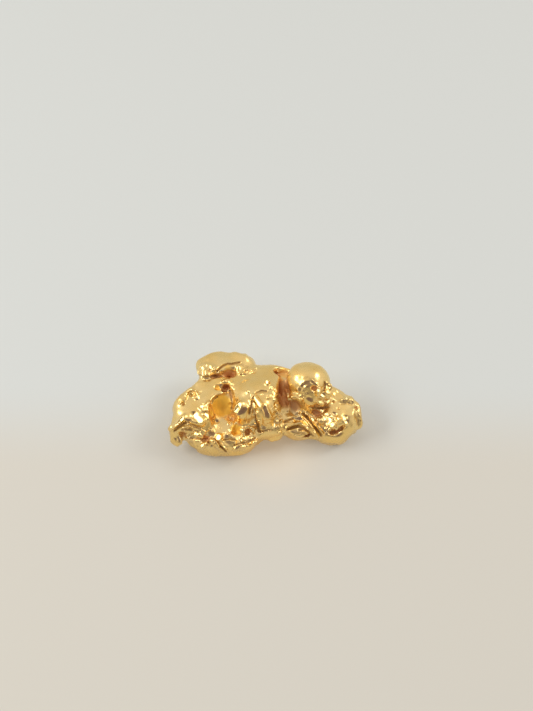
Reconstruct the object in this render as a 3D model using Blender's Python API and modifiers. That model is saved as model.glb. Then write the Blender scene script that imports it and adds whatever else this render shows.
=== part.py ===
"""A natural gold nugget: one lump of native metal, worn smooth on its knobs and ragged in its hollows.

It is modelled the way the metal lies. Rounded masses are fused and their joins softened. Smaller knobs,
ledges and ribs are fused on with tighter joins. Hollows, holes and clefts are cut, the sheltered places
are crumpled, and the lowest bumps are worn flat where the nugget rests. The shape is drawn in
millimetres and then scaled to the nugget's length in metres.
The origin is on the resting plane, under the middle of the nugget's box; +X is to the right along
its length, +Y to the back and +Z up.
"""

import math

import bmesh
import bpy
from mathutils import Euler, Matrix, Vector, noise
from mathutils.bvhtree import BVHTree

NUGGET_LENGTH = 0.0092  # along X; everything scales with it

# Drawn in millimetres, for a nugget about 9.2 long.
MASS_VOXEL = 0.08
DETAIL_VOXEL = 0.055
SWELL_HEIGHT, SWELL_SPAN = 0.10, 0.9
KNOBBLE_HEIGHT, KNOBBLE_SPAN = 0.22, 0.55
CRUMPLE_HEIGHT, CRUMPLE_SPAN = 0.28, 0.45
BEAD_SPACING = 0.04
OUTSIDE = 10  # further out than any of the metal
# How many times a join is smoothed.
BROAD_JOIN, KNOB_JOIN, HOLLOW_EDGE, CRISP_EDGE = 12, 6, 4, 1
SHELTERED_BELOW = 0.7  # a side whose normal rises more than this is worn smooth
CREST_SHARE = 0.6  # of the crumpling that lies below the surface
TRIANGLES = 9400

GOLD = (1.0, 0.68, 0.26, 1.0)
GOLD_ROUGHNESS = 0.2

BALL_CENTRE = (2.05, 0.40, 2.44)

# How boxy a lump is, seen from above and from the side: the powers of a superellipsoid.
BALL = (2.0, 2.0)
PEBBLE = (2.3, 2.6)
SLAB = (2.4, 3.4)
BLOCK = (2.5, 4.5)

# name: (centre, radii, turn in degrees about X, Y and Z, boxiness)
MASSES = {
    "left slab, front": ((-3.15, -0.62, 1.47), (1.18, 0.95, 0.80), (0, -5, 8), BLOCK),
    "left slab, back": ((-2.45, 0.05, 1.50), (1.12, 0.98, 0.80), (0, -4, 0), SLAB),
    "left root": ((-2.60, -0.10, 0.95), (1.20, 1.00, 0.75), (0, 0, 0), PEBBLE),
    "inner left": ((-1.50, 0.30, 1.50), (1.10, 1.00, 0.95), (0, 0, 0), PEBBLE),
    "back slab": ((-1.90, 1.60, 2.00), (1.40, 0.76, 0.47), (0, 0, 0), SLAB),
    "slab root": ((-1.90, 1.10, 1.55), (1.30, 0.85, 0.80), (0, 0, 0), PEBBLE),
    "middle body": ((-0.30, -0.20, 1.72), (1.12, 0.98, 1.12), (-6, 0, 0), SLAB),
    "middle back": ((-0.10, 0.40, 1.70), (1.10, 0.80, 0.98), (-4, 4, 0), PEBBLE),
    "saddle": ((0.15, 0.95, 1.60), (1.65, 0.77, 0.90), (0, 4, 0), PEBBLE),
    "under ball": ((2.10, 0.05, 1.22), (1.08, 0.85, 0.85), (0, 0, 0), PEBBLE),
    "right shoulder": ((2.95, 0.02, 1.38), (0.85, 0.75, 0.75), (0, 6, 0), PEBBLE),
    "right end": ((3.58, -0.60, 1.15), (0.98, 0.92, 0.86), (0, 6, -24), (2.8, 2.6)),
}
KNOBS = {
    "ball": (BALL_CENTRE, (1.02, 1.00, 1.04), (0, 0, 0), BALL),
    "ball crown": ((1.95, 0.48, 2.50), (0.98, 0.95, 0.97), (0, 0, 0), BALL),
    "ball chin": ((2.12, -0.46, 2.44), (0.36, 0.36, 0.34), (0, 0, 0), BALL),
    "ball root": ((2.20, -0.25, 1.95), (0.60, 0.50, 0.55), (0, 0, 0), BALL),
    "ball ear": ((2.92, -0.08, 2.25), (0.14, 0.24, 0.48), (0, 0, -12), BALL),
    "ball fold": ((2.48, -0.30, 2.84), (0.16, 0.16, 0.26), (0, 0, 0), BALL),
    "ball fold, low left": ((2.60, -0.38, 1.95), (0.18, 0.20, 0.20), (0, 0, 0), BALL),
    "ball fold, low right": ((2.90, -0.34, 1.92), (0.18, 0.20, 0.20), (0, 0, 0), BALL),
    "shoulder web": ((3.02, 0.35, 1.62), (0.40, 0.38, 0.36), (0, 0, 0), BALL),
    "chin": ((-1.98, -1.56, 0.74), (1.66, 0.82, 0.76), (0, 0, 0), SLAB),
    "chin, right end": ((-0.80, -1.45, 0.88), (0.62, 0.50, 0.55), (0, 0, 0), PEBBLE),
    "right foot": ((3.20, -1.06, 0.72), (0.85, 0.78, 0.78), (0, 0, 0), PEBBLE),
    "crinkled lump": ((3.15, -1.05, 1.45), (0.55, 0.42, 0.32), (0, 0, 0), BALL),
    "crinkle 1": ((2.60, -1.02, 1.46), (0.18, 0.18, 0.18), (0, 0, 0), BALL),
    "crinkle 2": ((2.90, -0.85, 1.70), (0.20, 0.16, 0.18), (0, 0, 0), BALL),
    "crinkle 3": ((3.15, -1.28, 1.60), (0.23, 0.18, 0.22), (0, 0, 30), BALL),
    "crinkle 4": ((3.44, -1.05, 1.68), (0.17, 0.20, 0.18), (0, 0, 0), BALL),
    "crinkle 5": ((2.96, -1.42, 1.26), (0.20, 0.16, 0.16), (0, 0, 0), BALL),
    "right rim": ((3.95, -0.10, 1.55), (0.34, 0.32, 0.34), (0, 0, 0), PEBBLE),
    "right corner": ((4.38, -0.90, 1.15), (0.24, 0.40, 0.40), (0, 0, 0), PEBBLE),
    "keel": ((1.66, -1.08, 0.84), (0.78, 0.58, 0.60), (0, 0, 0), PEBBLE),
    "keel to foot": ((2.35, -1.00, 0.85), (0.60, 0.58, 0.65), (0, 0, 0), PEBBLE),
    "canyon floor": ((0.95, -0.20, 0.85), (0.80, 0.80, 0.62), (0, 0, 0), PEBBLE),
    "canyon sill": ((0.95, -0.85, 1.02), (0.66, 0.52, 0.62), (0, 0, 0), PEBBLE),
    "middle left lobe": ((-1.02, -0.92, 2.08), (0.46, 0.50, 0.74), (0, 0, 0), PEBBLE),
    "middle right lobe": ((-0.15, -0.95, 2.05), (0.40, 0.48, 0.80), (0, 0, 0), PEBBLE),
    "middle front facet": ((0.12, -1.10, 1.75), (0.38, 0.46, 0.80), (0, 0, 0), PEBBLE),
    "middle foot": ((0.15, -1.12, 1.00), (0.78, 0.58, 0.62), (0, 0, 0), PEBBLE),
    "middle apron": ((-0.80, -1.12, 1.15), (0.58, 0.52, 0.55), (0, 0, 0), PEBBLE),
    "left brow": ((-3.55, -1.25, 1.72), (0.70, 0.30, 0.36), (0, -10, 18), BALL),
    "left tip": ((-4.02, -1.05, 1.45), (0.42, 0.70, 0.42), (0, 0, 0), BALL),
    "tip neck": ((-4.28, -1.45, 1.22), (0.30, 0.34, 0.36), (0, 0, 0), BALL),
    "tip knob": ((-4.11, -1.72, 0.80), (0.33, 0.30, 0.32), (0, 0, 0), BALL),
    "plateau corner": ((-2.85, -1.40, 1.45), (0.52, 0.46, 0.42), (0, 0, 0), PEBBLE),
    "terrace": ((-1.95, -1.38, 0.98), (0.85, 0.60, 0.58), (0, 0, 0), BLOCK),
    "hollow rim": ((-2.80, -0.92, 2.08), (0.22, 0.42, 0.24), (0, 0, 0), BALL),
    "slab brow": ((-2.62, 1.20, 2.36), (0.52, 0.16, 0.16), (0, 0, -14), BALL),
    "slab end": ((-0.92, 1.55, 1.92), (0.38, 0.50, 0.40), (0, 0, 0), PEBBLE),
    "left back foot": ((-1.60, 1.30, 0.76), (1.10, 0.80, 0.84), (0, 0, 0), PEBBLE),
    "right back foot": ((1.10, 0.90, 0.74), (0.90, 0.70, 0.84), (0, 0, 0), PEBBLE),
    "back knob": ((0.40, 1.62, 1.25), (0.55, 0.42, 0.50), (0, 0, 0), BALL),
    "back ledge": ((2.60, 0.75, 1.20), (0.80, 0.35, 0.40), (0, 0, -20), PEBBLE),
    "left heel": ((-3.45, 0.35, 1.00), (0.50, 0.45, 0.50), (0, 0, 0), BALL),
    "underside, 1": ((-2.95, -0.75, 0.42), (0.55, 0.48, 0.42), (0, 0, 20), PEBBLE),
    "underside, 2": ((-1.15, -0.85, 0.44), (0.50, 0.55, 0.44), (0, 0, -30), PEBBLE),
    "underside, 3": ((-2.75, 0.60, 0.52), (0.60, 0.45, 0.45), (0, 0, 35), PEBBLE),
    "underside, 4": ((-0.55, 0.75, 0.52), (0.55, 0.50, 0.50), (0, 0, 10), PEBBLE),
    "underside, 5": ((0.35, 0.35, 0.55), (0.45, 0.55, 0.45), (0, 0, 0), BALL),
    "underside, 6": ((2.15, 0.10, 0.50), (0.60, 0.50, 0.46), (0, 0, -25), PEBBLE),
    "underside, 7": ((2.50, -0.80, 0.38), (0.50, 0.50, 0.40), (0, 0, 15), PEBBLE),
    "underside, 8": ((-0.90, 1.75, 0.62), (0.50, 0.42, 0.45), (0, 0, 0), BALL),
    "underside, 9": ((-2.45, 1.50, 0.70), (0.45, 0.50, 0.42), (0, 0, 0), BALL),
    "underside, 10": ((3.55, -0.45, 0.62), (0.55, 0.60, 0.45), (0, 0, 0), PEBBLE),
}
# Ribs, clefts, grains and pits are drawn on sketch planes through the origin and projected onto the metal.
# A sketch plane is level, turned about X by its tilt in degrees, and drawn on from its outer side.
FRONT, BACK, UNDER = 30, -70, 180

# name: (sketch, broken line, radius)
RIBS = {
    "slab brow": (FRONT, ((-3.04, 2.36), (-2.71, 2.43), (-2.42, 2.29), (-2.24, 2.15)), 0.10),
    "front ridge": (FRONT, ((-4.50, -0.54), (-4.26, -0.44), (-4.03, -0.23), (-3.84, -0.04)), 0.12),
    "plateau edge": (FRONT, ((-3.84, -0.04), (-3.56, -0.16), (-3.23, -0.25), (-2.90, -0.40)), 0.09),
    "wall ledge, upper": (FRONT, ((-3.84, -0.49), (-3.56, -0.56), (-3.23, -0.63), (-2.94, -0.68)), 0.09),
    "wall ledge, middle": (FRONT, ((-3.65, -0.73), (-3.37, -0.80), (-3.08, -0.84)), 0.08),
    "wall ledge, lower": (FRONT, ((-3.75, -0.92), (-3.37, -0.99), (-2.99, -1.06)), 0.09),
    "chin arch": (
        FRONT,
        ((-2.94, -1.43), (-2.80, -1.22), (-2.57, -1.13), (-2.38, -1.20), (-2.19, -1.43)),
        0.12,
    ),
    "chin line": (FRONT, ((-2.42, -0.96), (-2.19, -1.15), (-2.00, -1.39), (-1.76, -1.62)), 0.09),
    "hollow rim": (FRONT, ((-2.80, 0.31), (-2.78, 0.50), (-2.66, 0.64)), 0.10),
    "small hollow rim, left": (FRONT, ((-1.72, -0.77), (-1.58, -0.51), (-1.39, -0.30)), 0.09),
    "small hollow rim, right": (FRONT, ((-1.20, -1.01), (-1.13, -0.77), (-1.17, -0.54)), 0.09),
    "little bowl rim": (FRONT, ((-1.10, -0.63), (-0.96, -0.49), (-0.73, -0.49), (-0.58, -0.63)), 0.09),
    "chin rim": (FRONT, ((-1.34, -1.39), (-1.01, -1.27), (-0.68, -1.22), (-0.35, -1.06)), 0.10),
    "canyon rib": (FRONT, ((0.97, 1.11), (1.09, 0.74), (1.07, 0.41)), 0.08),
    "shelf edge": (FRONT, ((1.07, 0.97), (1.40, 1.02), (1.68, 0.92)), 0.09),
    "outer rib": (FRONT, ((1.49, 0.24), (1.82, -0.07), (2.15, -0.47), (2.48, -0.87)), 0.10),
    "inner rib": (FRONT, ((1.82, 0.17), (2.15, -0.14), (2.48, -0.54), (2.74, -0.92)), 0.09),
    "keel ledge": (
        FRONT,
        ((0.83, -0.44), (1.07, -0.33), (1.35, -0.25), (1.63, -0.30), (1.92, -0.44)),
        0.10,
    ),
    "keel ridge": (FRONT, ((0.97, -0.54), (1.21, -0.66), (1.49, -0.84), (1.82, -1.01)), 0.09),
    "shoulder crinkle": (FRONT, ((3.52, 0.76), (3.80, 0.81), (4.04, 0.69)), 0.09),
    "crater rim": (
        FRONT,
        ((-3.65, 1.14), (-3.53, 1.25), (-3.34, 1.25), (-3.23, 1.11), (-3.23, 0.92)),
        0.07,
    ),
    "back ledge, left": (BACK, ((-3.00, -0.55), (-2.30, -0.78), (-1.50, -0.70), (-0.80, -0.50)), 0.11),
    "back ledge, right": (BACK, ((0.30, -0.60), (1.00, -0.35), (1.70, -0.55), (2.40, -0.30)), 0.10),
    "back fold": (BACK, ((-2.60, -0.10), (-1.90, -0.28), (-1.10, -0.10), (-0.40, -0.25)), 0.10),
    "right back fold": (BACK, ((2.60, -0.75), (3.20, -0.55), (3.80, -0.70)), 0.09),
    "underside rib, left": (UNDER, ((-3.40, 0.10), (-2.70, 0.35), (-1.90, 0.05), (-1.10, 0.30)), 0.12),
    "underside rib, right": (UNDER, ((1.20, -0.10), (1.90, 0.25), (2.60, 0.05), (3.40, 0.30)), 0.11),
}
CLEFTS = {
    "slab crevice": (FRONT, ((-2.80, 1.84), (-2.42, 1.87), (-2.05, 1.89)), 0.07),
    "slab arch": (FRONT, ((-2.24, 2.17), (-2.05, 2.36), (-1.86, 2.46), (-1.62, 2.46), (-1.39, 2.53)), 0.06),
    "under the front ridge": (
        FRONT,
        ((-4.55, -0.70), (-4.26, -0.58), (-3.98, -0.40), (-3.75, -0.21)),
        0.09,
    ),
    "under the plateau edge": (
        FRONT,
        ((-3.75, -0.23), (-3.42, -0.40), (-3.08, -0.51), (-2.75, -0.68)),
        0.09,
    ),
    "wall line": (FRONT, ((-3.70, -0.84), (-3.37, -0.89), (-3.08, -0.94), (-2.85, -1.10)), 0.07),
    "middle crevice": (
        FRONT,
        ((-0.66, 1.02), (-0.61, 0.78), (-0.63, 0.50), (-0.73, 0.22), (-0.77, -0.07)),
        0.10,
    ),
    "middle crease": (FRONT, ((-0.54, 0.03), (-0.40, -0.30), (-0.25, -0.68)), 0.08),
    "middle foot crease": (FRONT, ((-0.30, -0.73), (-0.07, -0.63), (0.22, -0.61)), 0.08),
    "ball slot": (FRONT, ((2.81, 1.56), (2.81, 1.16)), 0.07),
    "crease under the dome": (FRONT, ((2.29, 0.50), (2.62, 0.45), (2.91, 0.57)), 0.08),
    "rib groove, outer": (FRONT, ((1.68, 0.12), (2.01, -0.25), (2.34, -0.63)), 0.07),
    "rib groove, inner": (FRONT, ((2.01, 0.17), (2.34, -0.16), (2.62, -0.54)), 0.07),
    "keel fold, upper": (FRONT, ((1.49, -0.44), (1.77, -0.40), (2.06, -0.58)), 0.08),
    "keel fold, lower": (FRONT, ((1.63, -0.66), (1.92, -0.58), (2.25, -0.82)), 0.07),
    "crescent": (FRONT, ((2.76, -0.54), (3.00, -0.77), (3.33, -0.70), (3.57, -0.49), (3.71, -0.23)), 0.09),
    "slit": (FRONT, ((-0.40, 1.11), (-0.21, 1.21), (0.03, 1.18)), 0.06),
    "back crevice, left": (BACK, ((-2.70, -0.35), (-2.00, -0.48), (-1.30, -0.38)), 0.09),
    "back crevice, right": (BACK, ((0.50, -0.15), (1.20, -0.02), (1.90, -0.25)), 0.09),
    "below the back slab": (BACK, ((-3.00, -0.95), (-2.10, -1.05), (-1.20, -0.98)), 0.09),
    "underside cleft": (UNDER, ((-0.90, -0.50), (-0.10, -0.10), (0.80, -0.35), (1.60, 0.00)), 0.12),
}
# (across and up on the front sketch)
GRAINS = (
    (0.12, 1.63), (0.31, 1.35), (0.22, 1.02), (0.45, 0.83), (0.36, 0.45), (0.59, 0.17),
    (0.50, -0.11), (0.74, -0.21), (0.69, -0.49), (0.64, -0.77), (0.85, -0.77),
)
GRAIN_RADIUS = 0.12
# name: (sketch, place, radius)
PITS = {
    "chin pit": (FRONT, (-2.75, -1.10), 0.13),
    "bowl pit": (FRONT, (-0.82, -0.73), 0.13),
    "slab pit": (FRONT, (-0.84, 2.13), 0.11),
    "ball pit": (FRONT, (2.29, 1.33), 0.17),
    "right pit": (FRONT, (4.30, 0.42), 0.09),
    "shoulder pit": (FRONT, (3.21, 0.74), 0.08),
    "end pit": (FRONT, (3.45, 0.36), 0.07),
    "left pit": (FRONT, (-3.91, 0.67), 0.09),
    "crater": (FRONT, (-3.44, 1.04), 0.11),
    "dark hollow": (FRONT, (2.43, 0.17), 0.20),
    "terrace pit": (FRONT, (-2.33, -0.21), 0.10),
    "tip dimple": (FRONT, (-4.26, -1.01), 0.09),
    "saddle hole": (FRONT, (0.57, 2.22), 0.13),
    "back pit, left": (BACK, (-3.40, -0.40), 0.12),
    "back pit, middle": (BACK, (-0.40, -0.95), 0.15),
    "back pit, right": (BACK, (2.90, -0.60), 0.12),
    "underside pit": (UNDER, (-2.60, -0.40), 0.15),
}
HOLLOWS = {
    "amber hollow": ((-2.02, -0.55, 2.15), (0.54, 0.50, 0.80), (0, 0, 0), BALL),
    "hollow shoulder": ((-1.75, -0.25, 2.30), (0.30, 0.32, 0.45), (0, 0, 0), BALL),
    "hollow corner": ((-1.64, -0.12, 2.25), (0.15, 0.32, 0.35), (0, 0, 0), BALL),
    "hollow mouth": ((-2.05, -1.22, 2.22), (0.52, 0.50, 0.66), (0, 0, 0), BALL),
    "canyon": ((0.88, 0.05, 2.25), (0.28, 0.80, 0.80), (0, 0, 0), BALL),
    "canyon head": ((0.93, 0.92, 2.45), (0.23, 0.45, 0.34), (0, 0, 0), BALL),
    "brown cave": ((1.42, -0.55, 1.78), (0.24, 0.45, 0.26), (0, 0, 0), BALL),
    "slab recess": ((-1.67, 1.12, 2.60), (0.46, 0.28, 0.22), (0, 0, 0), BALL),
    "slab hole": ((-1.69, 1.00, 2.30), (0.28, 0.21, 0.70), (0, 0, 0), BALL),
    "slab crevice": ((-2.30, 0.95, 2.30), (0.40, 0.11, 0.28), (0, 0, 6), BALL),
    "twin hole, right": ((-1.90, 0.28, 2.40), (0.22, 0.20, 0.50), (0, 0, 0), BALL),
    "twin hole, left": ((-2.28, 0.23, 2.45), (0.15, 0.14, 0.35), (0, 0, 0), BALL),
    "small amber hollow": ((-1.39, -1.55, 1.35), (0.25, 0.25, 0.30), (0, 0, 0), BALL),
    "chin notch": ((-3.45, -2.05, 0.55), (0.24, 0.35, 0.40), (0, 0, 0), BALL),
    "keel hollow": ((1.87, -1.40, 0.90), (0.36, 0.28, 0.16), (0, 0, 0), BALL),
    "back cave": ((-0.55, 2.05, 1.45), (0.40, 0.45, 0.28), (0, 0, 0), BALL),
    "underside hollow": ((0.20, -0.10, 0.40), (1.20, 0.50, 0.35), (0, 0, 15), BALL),
}
# Where the sides are worn smooth. name: (centre, reach along X, Y and Z)
WORN = {
    "ball": (BALL_CENTRE, (1.45, 1.45, 1.45)),
    "chin": ((-2.00, -2.20, 0.60), (1.90, 0.90, 0.80)),
    "middle foot": ((0.15, -1.50, 0.90), (0.90, 0.70, 0.80)),
    "keel": ((1.60, -1.60, 0.50), (1.00, 0.60, 0.60)),
    "right foot": ((3.30, -1.60, 0.70), (1.10, 0.80, 0.80)),
    "right dome": ((3.90, -0.80, 1.40), (0.90, 0.90, 0.80)),
}
# Where the metal is crumpled. name: (centre, reach along X, Y and Z)
RAGGED = {
    "left wall": ((-3.20, -1.85, 1.10), (1.10, 0.55, 0.60)),
    "chin top": ((-1.60, -1.95, 0.95), (1.30, 0.60, 0.55)),
    "granules": ((0.55, -0.80, 1.90), (0.32, 0.95, 1.10)),
    "right lump": ((3.15, -1.25, 1.35), (0.65, 0.55, 0.55)),
    "keel": ((2.00, -1.30, 1.05), (0.85, 0.50, 0.50)),
    "ball, lower right": ((2.55, -0.40, 1.95), (0.55, 0.45, 0.60)),
    "right edge": ((4.30, -0.45, 1.45), (0.40, 0.80, 0.50)),
    "slab crevice": ((-1.40, 1.05, 2.40), (1.10, 0.22, 0.30)),
    "back": ((0.20, 2.00, 1.00), (2.40, 0.60, 0.60)),
    "right back": ((3.20, 0.85, 1.00), (1.00, 0.55, 0.60)),
    "left back": ((-3.60, 0.70, 0.90), (0.70, 0.60, 0.50)),
}


def lump(mesh, centre, radii, turn, boxiness):
    """A superellipsoid."""
    made = bmesh.ops.create_icosphere(mesh, subdivisions=4, radius=1)
    plan, profile = boxiness
    turned = Euler([math.radians(angle) for angle in turn])
    place = Matrix.LocRotScale(Vector(centre), turned, Vector(radii))
    for vert in made["verts"]:
        across = (abs(vert.co.x) ** plan + abs(vert.co.y) ** plan) ** (1 / plan)
        reach = (across ** profile + abs(vert.co.z) ** profile) ** (-1 / profile)
        vert.co = place @ (vert.co * reach)


def drape(surface, sketch, points):
    """The places where a broken line, drawn on a sketch plane, falls on the surface."""
    tilt = math.radians(sketch)
    up = Vector((0, math.cos(tilt), math.sin(tilt)))
    outward = Vector((0, -math.sin(tilt), math.cos(tilt)))
    line = [Vector((across, 0, 0)) + rise * up for across, rise in points]
    along = [line[0]]
    for start, end in zip(line, line[1:]):
        steps = math.ceil((end - start).length / BEAD_SPACING)
        along += [start.lerp(end, (step + 1) / steps) for step in range(steps)]
    hits = [surface.ray_cast(place + outward * OUTSIDE, -outward)[0] for place in along]
    return [hit for hit in hits if hit is not None]


def surface_of(made):
    return BVHTree.FromPolygons(
        [vert.co for vert in made.data.vertices], [face.vertices for face in made.data.polygons]
    )


def bead_pattern():
    mesh = bmesh.new()
    bmesh.ops.create_icosphere(mesh, subdivisions=2, radius=1)
    data = bpy.data.meshes.new("bead")
    mesh.to_mesh(data)
    mesh.free()
    return data


def add_beads(mesh, beads):
    """A small ball at each (centre, radius)."""
    pattern = bead_pattern()
    for centre, radius in beads:
        bead = pattern.copy()
        bead.transform(Matrix.LocRotScale(centre, None, Vector((radius, radius, radius))))
        mesh.from_mesh(bead)
        bpy.data.meshes.remove(bead)
    bpy.data.meshes.remove(pattern)


def object_of(name, lumps=(), beads=(), onto=None):
    """One object holding every lump and bead, and what onto already is."""
    mesh = bmesh.new()
    if onto is not None:
        mesh.from_mesh(onto.data)
        bpy.data.objects.remove(onto)
    for shape in lumps:
        lump(mesh, *shape)
    add_beads(mesh, beads)
    data = bpy.data.meshes.new(name)
    mesh.to_mesh(data)
    mesh.free()
    made = bpy.data.objects.new(name, data)
    bpy.context.scene.collection.objects.link(made)
    return made


def beads_along(made, lines):
    """Beads along each line on the object's surface, as (centre, radius)."""
    surface = surface_of(made)
    return [(place, radius) for sketch, points, radius in lines for place in drape(surface, sketch, points)]


def settle(made):
    """Makes the modifiers' result the object's own mesh."""
    bpy.context.view_layer.update()
    graph = bpy.context.evaluated_depsgraph_get()
    data = bpy.data.meshes.new_from_object(made.evaluated_get(graph))
    made.modifiers.clear()
    made.data = data
    return made


def fuse(made, voxel, softening):
    remesh = made.modifiers.new("fuse", "REMESH")
    remesh.mode = "VOXEL"
    remesh.voxel_size = voxel
    soften = made.modifiers.new("soften", "SMOOTH")
    soften.factor = 0.5
    soften.iterations = softening
    return settle(made)


def push_out(made, height_at):
    """Moves each point along its normal by height_at(point, normal)."""
    normals = [vert.normal.copy() for vert in made.data.vertices]
    for vert, normal in zip(made.data.vertices, normals):
        vert.co += normal * height_at(vert.co, normal)
    return made


def swelling(point, normal):
    """A gentle unevenness, so that no mass stays a perfect form."""
    return SWELL_HEIGHT * noise.noise(point / SWELL_SPAN)


def knobbliness(point, normal):
    """Rounded bumps and dents on the sides and the underside, but not where the metal is worn."""
    sheltered = min(1, max(0, SHELTERED_BELOW - normal.z)) * (1 - within(WORN, point))
    bump = noise.noise(point / KNOBBLE_SPAN) + noise.noise(point / KNOBBLE_SPAN * 2) / 2
    return KNOBBLE_HEIGHT * sheltered * bump


def within(places, point):
    """1 in the middle of one of the places, falling to 0 at its edge."""
    inside = 0
    for centre, reach in places.values():
        away = [(at - middle) / span for at, middle, span in zip(point, centre, reach)]
        inside = max(inside, 1 - sum(step * step for step in away))
    return min(1, 2 * inside)


def crumpling(point, normal):
    """Sharp little ridges with rounder troughs between them."""
    ragged = within(RAGGED, point)
    if ragged == 0:
        return 0
    fold = 1 - 2 * abs(noise.noise(point / CRUMPLE_SPAN))
    return CRUMPLE_HEIGHT * ragged * (fold - CREST_SHARE)


def cut(made, cutter):
    carve = made.modifiers.new("carve", "BOOLEAN")
    carve.operation = "DIFFERENCE"
    carve.object = cutter
    settle(made)
    bpy.data.objects.remove(cutter)
    return made


def thin_out(made, triangles):
    made.data.calc_loop_triangles()
    reduce = made.modifiers.new("thin out", "DECIMATE")
    reduce.ratio = triangles / len(made.data.loop_triangles)
    reduce.use_collapse_triangulate = True
    return settle(made)


def wear_flat(made):
    """Cuts off what is below the resting plane."""
    ground = object_of("ground")
    mesh = bmesh.new()
    bmesh.ops.create_cube(mesh, size=2 * OUTSIDE, matrix=Matrix.Translation((0, 0, -OUTSIDE)))
    mesh.to_mesh(ground.data)
    mesh.free()
    return cut(made, ground)


def keep_largest(made):
    """Drops the crumbs that the cuts leave loose."""
    mesh = bmesh.new()
    mesh.from_mesh(made.data)
    waiting = set(mesh.verts)
    pieces = []
    while waiting:
        piece, growing = set(), [waiting.pop()]
        while growing:
            vert = growing.pop()
            piece.add(vert)
            for edge in vert.link_edges:
                other = edge.other_vert(vert)
                if other in waiting:
                    waiting.remove(other)
                    growing.append(other)
        pieces.append(piece)
    body = max(pieces, key=len)
    bmesh.ops.delete(mesh, geom=[vert for vert in mesh.verts if vert not in body], context="VERTS")
    mesh.to_mesh(made.data)
    mesh.free()
    return made


def to_real_size(made):
    """Puts the origin under the middle of the box, and scales the drawing to metres."""
    points = [vert.co for vert in made.data.vertices]
    low, high = (Vector(pick(point[axis] for point in points) for axis in range(3)) for pick in (min, max))
    middle = Vector(((low.x + high.x) / 2, (low.y + high.y) / 2, 0))
    scale = NUGGET_LENGTH / (high.x - low.x)
    made.data.transform(Matrix.Scale(scale, 4) @ Matrix.Translation(-middle))
    return made


def gold():
    material = bpy.data.materials.new("gold")
    material.use_nodes = True
    shader = material.node_tree.nodes["Principled BSDF"]
    shader.inputs["Base Color"].default_value = GOLD
    shader.inputs["Metallic"].default_value = 1.0
    shader.inputs["Roughness"].default_value = GOLD_ROUGHNESS
    return material


def nugget():
    made = fuse(object_of("nugget", MASSES.values()), MASS_VOXEL, BROAD_JOIN)
    made = push_out(made, swelling)
    made = fuse(object_of("nugget", KNOBS.values(), onto=made), DETAIL_VOXEL, KNOB_JOIN)
    made = fuse(push_out(made, knobbliness), DETAIL_VOXEL, CRISP_EDGE)
    made = fuse(push_out(made, crumpling), DETAIL_VOXEL, CRISP_EDGE)
    holes = fuse(object_of("holes", HOLLOWS.values()), DETAIL_VOXEL, 0)
    made = fuse(cut(made, holes), DETAIL_VOXEL, HOLLOW_EDGE)
    grains = [(FRONT, (place,), GRAIN_RADIUS) for place in GRAINS]
    raised = beads_along(made, [*RIBS.values(), *grains])
    made = fuse(object_of("nugget", beads=raised, onto=made), DETAIL_VOXEL, CRISP_EDGE)
    pits = [(sketch, (place,), radius) for sketch, place, radius in PITS.values()]
    sunk = beads_along(made, [*CLEFTS.values(), *pits])
    furrows = fuse(object_of("furrows", beads=sunk), DETAIL_VOXEL / 2, 0)
    made = keep_largest(fuse(cut(made, furrows), DETAIL_VOXEL, CRISP_EDGE))
    made = to_real_size(wear_flat(thin_out(made, TRIANGLES)))
    made.name = "nugget"
    made.data.materials.append(gold())
    made.data.shade_smooth()
    return made


def main():
    for old in list(bpy.data.objects):
        bpy.data.objects.remove(old)
    collection = bpy.data.collections.new("gold nugget")
    bpy.context.scene.collection.children.link(collection)
    made = nugget()
    bpy.context.scene.collection.objects.unlink(made)
    collection.objects.link(made)


main()
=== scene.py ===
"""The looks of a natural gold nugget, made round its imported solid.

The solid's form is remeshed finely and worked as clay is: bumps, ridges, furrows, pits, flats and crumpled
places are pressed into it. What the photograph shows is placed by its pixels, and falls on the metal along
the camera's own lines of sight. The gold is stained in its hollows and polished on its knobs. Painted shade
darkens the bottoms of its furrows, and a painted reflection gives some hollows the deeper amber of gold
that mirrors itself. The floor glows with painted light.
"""

import math

import bmesh
import bpy
import numpy as np
from mathutils import Euler, Matrix, Vector, noise
from mathutils.bvhtree import BVHTree
from mathutils.kdtree import KDTree

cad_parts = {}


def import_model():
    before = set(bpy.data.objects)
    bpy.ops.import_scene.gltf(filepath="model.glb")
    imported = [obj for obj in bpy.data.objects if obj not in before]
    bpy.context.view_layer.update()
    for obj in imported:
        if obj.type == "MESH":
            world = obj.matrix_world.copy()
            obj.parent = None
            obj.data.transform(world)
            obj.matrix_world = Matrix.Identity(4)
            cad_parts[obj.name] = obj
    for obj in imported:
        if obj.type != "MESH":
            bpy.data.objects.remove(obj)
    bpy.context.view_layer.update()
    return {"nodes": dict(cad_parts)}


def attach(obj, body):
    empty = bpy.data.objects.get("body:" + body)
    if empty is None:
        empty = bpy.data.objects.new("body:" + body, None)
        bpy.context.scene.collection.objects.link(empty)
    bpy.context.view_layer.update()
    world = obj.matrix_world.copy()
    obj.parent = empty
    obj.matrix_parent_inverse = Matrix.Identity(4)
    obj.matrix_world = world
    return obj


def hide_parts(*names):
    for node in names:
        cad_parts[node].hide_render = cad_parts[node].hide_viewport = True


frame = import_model()

NOISE_SEED = 11
noise.seed_set(NOISE_SEED)  # the noise vectors would differ from run to run without it

MM = 0.001  # the scene is in metres


def add_object(name, data):
    made = bpy.data.objects.new(name, data)
    bpy.context.scene.collection.objects.link(made)
    return made


# ---- camera
FRAME_W, FRAME_H = 533, 711
LENS, SENSOR = 85.0, 36.0
CLIP_NEAR, CLIP_FAR = 0.001, 10
FOCAL_PX = LENS / SENSOR * FRAME_H
ORIGIN_PX = (265.4, 417.6)  # where the nugget's origin shows in the photograph
PX_PER_MM = 21.2
ELEVATION = math.radians(60)  # of the line of sight at the nugget
AIM_HEIGHT = 1.6 * MM


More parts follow.
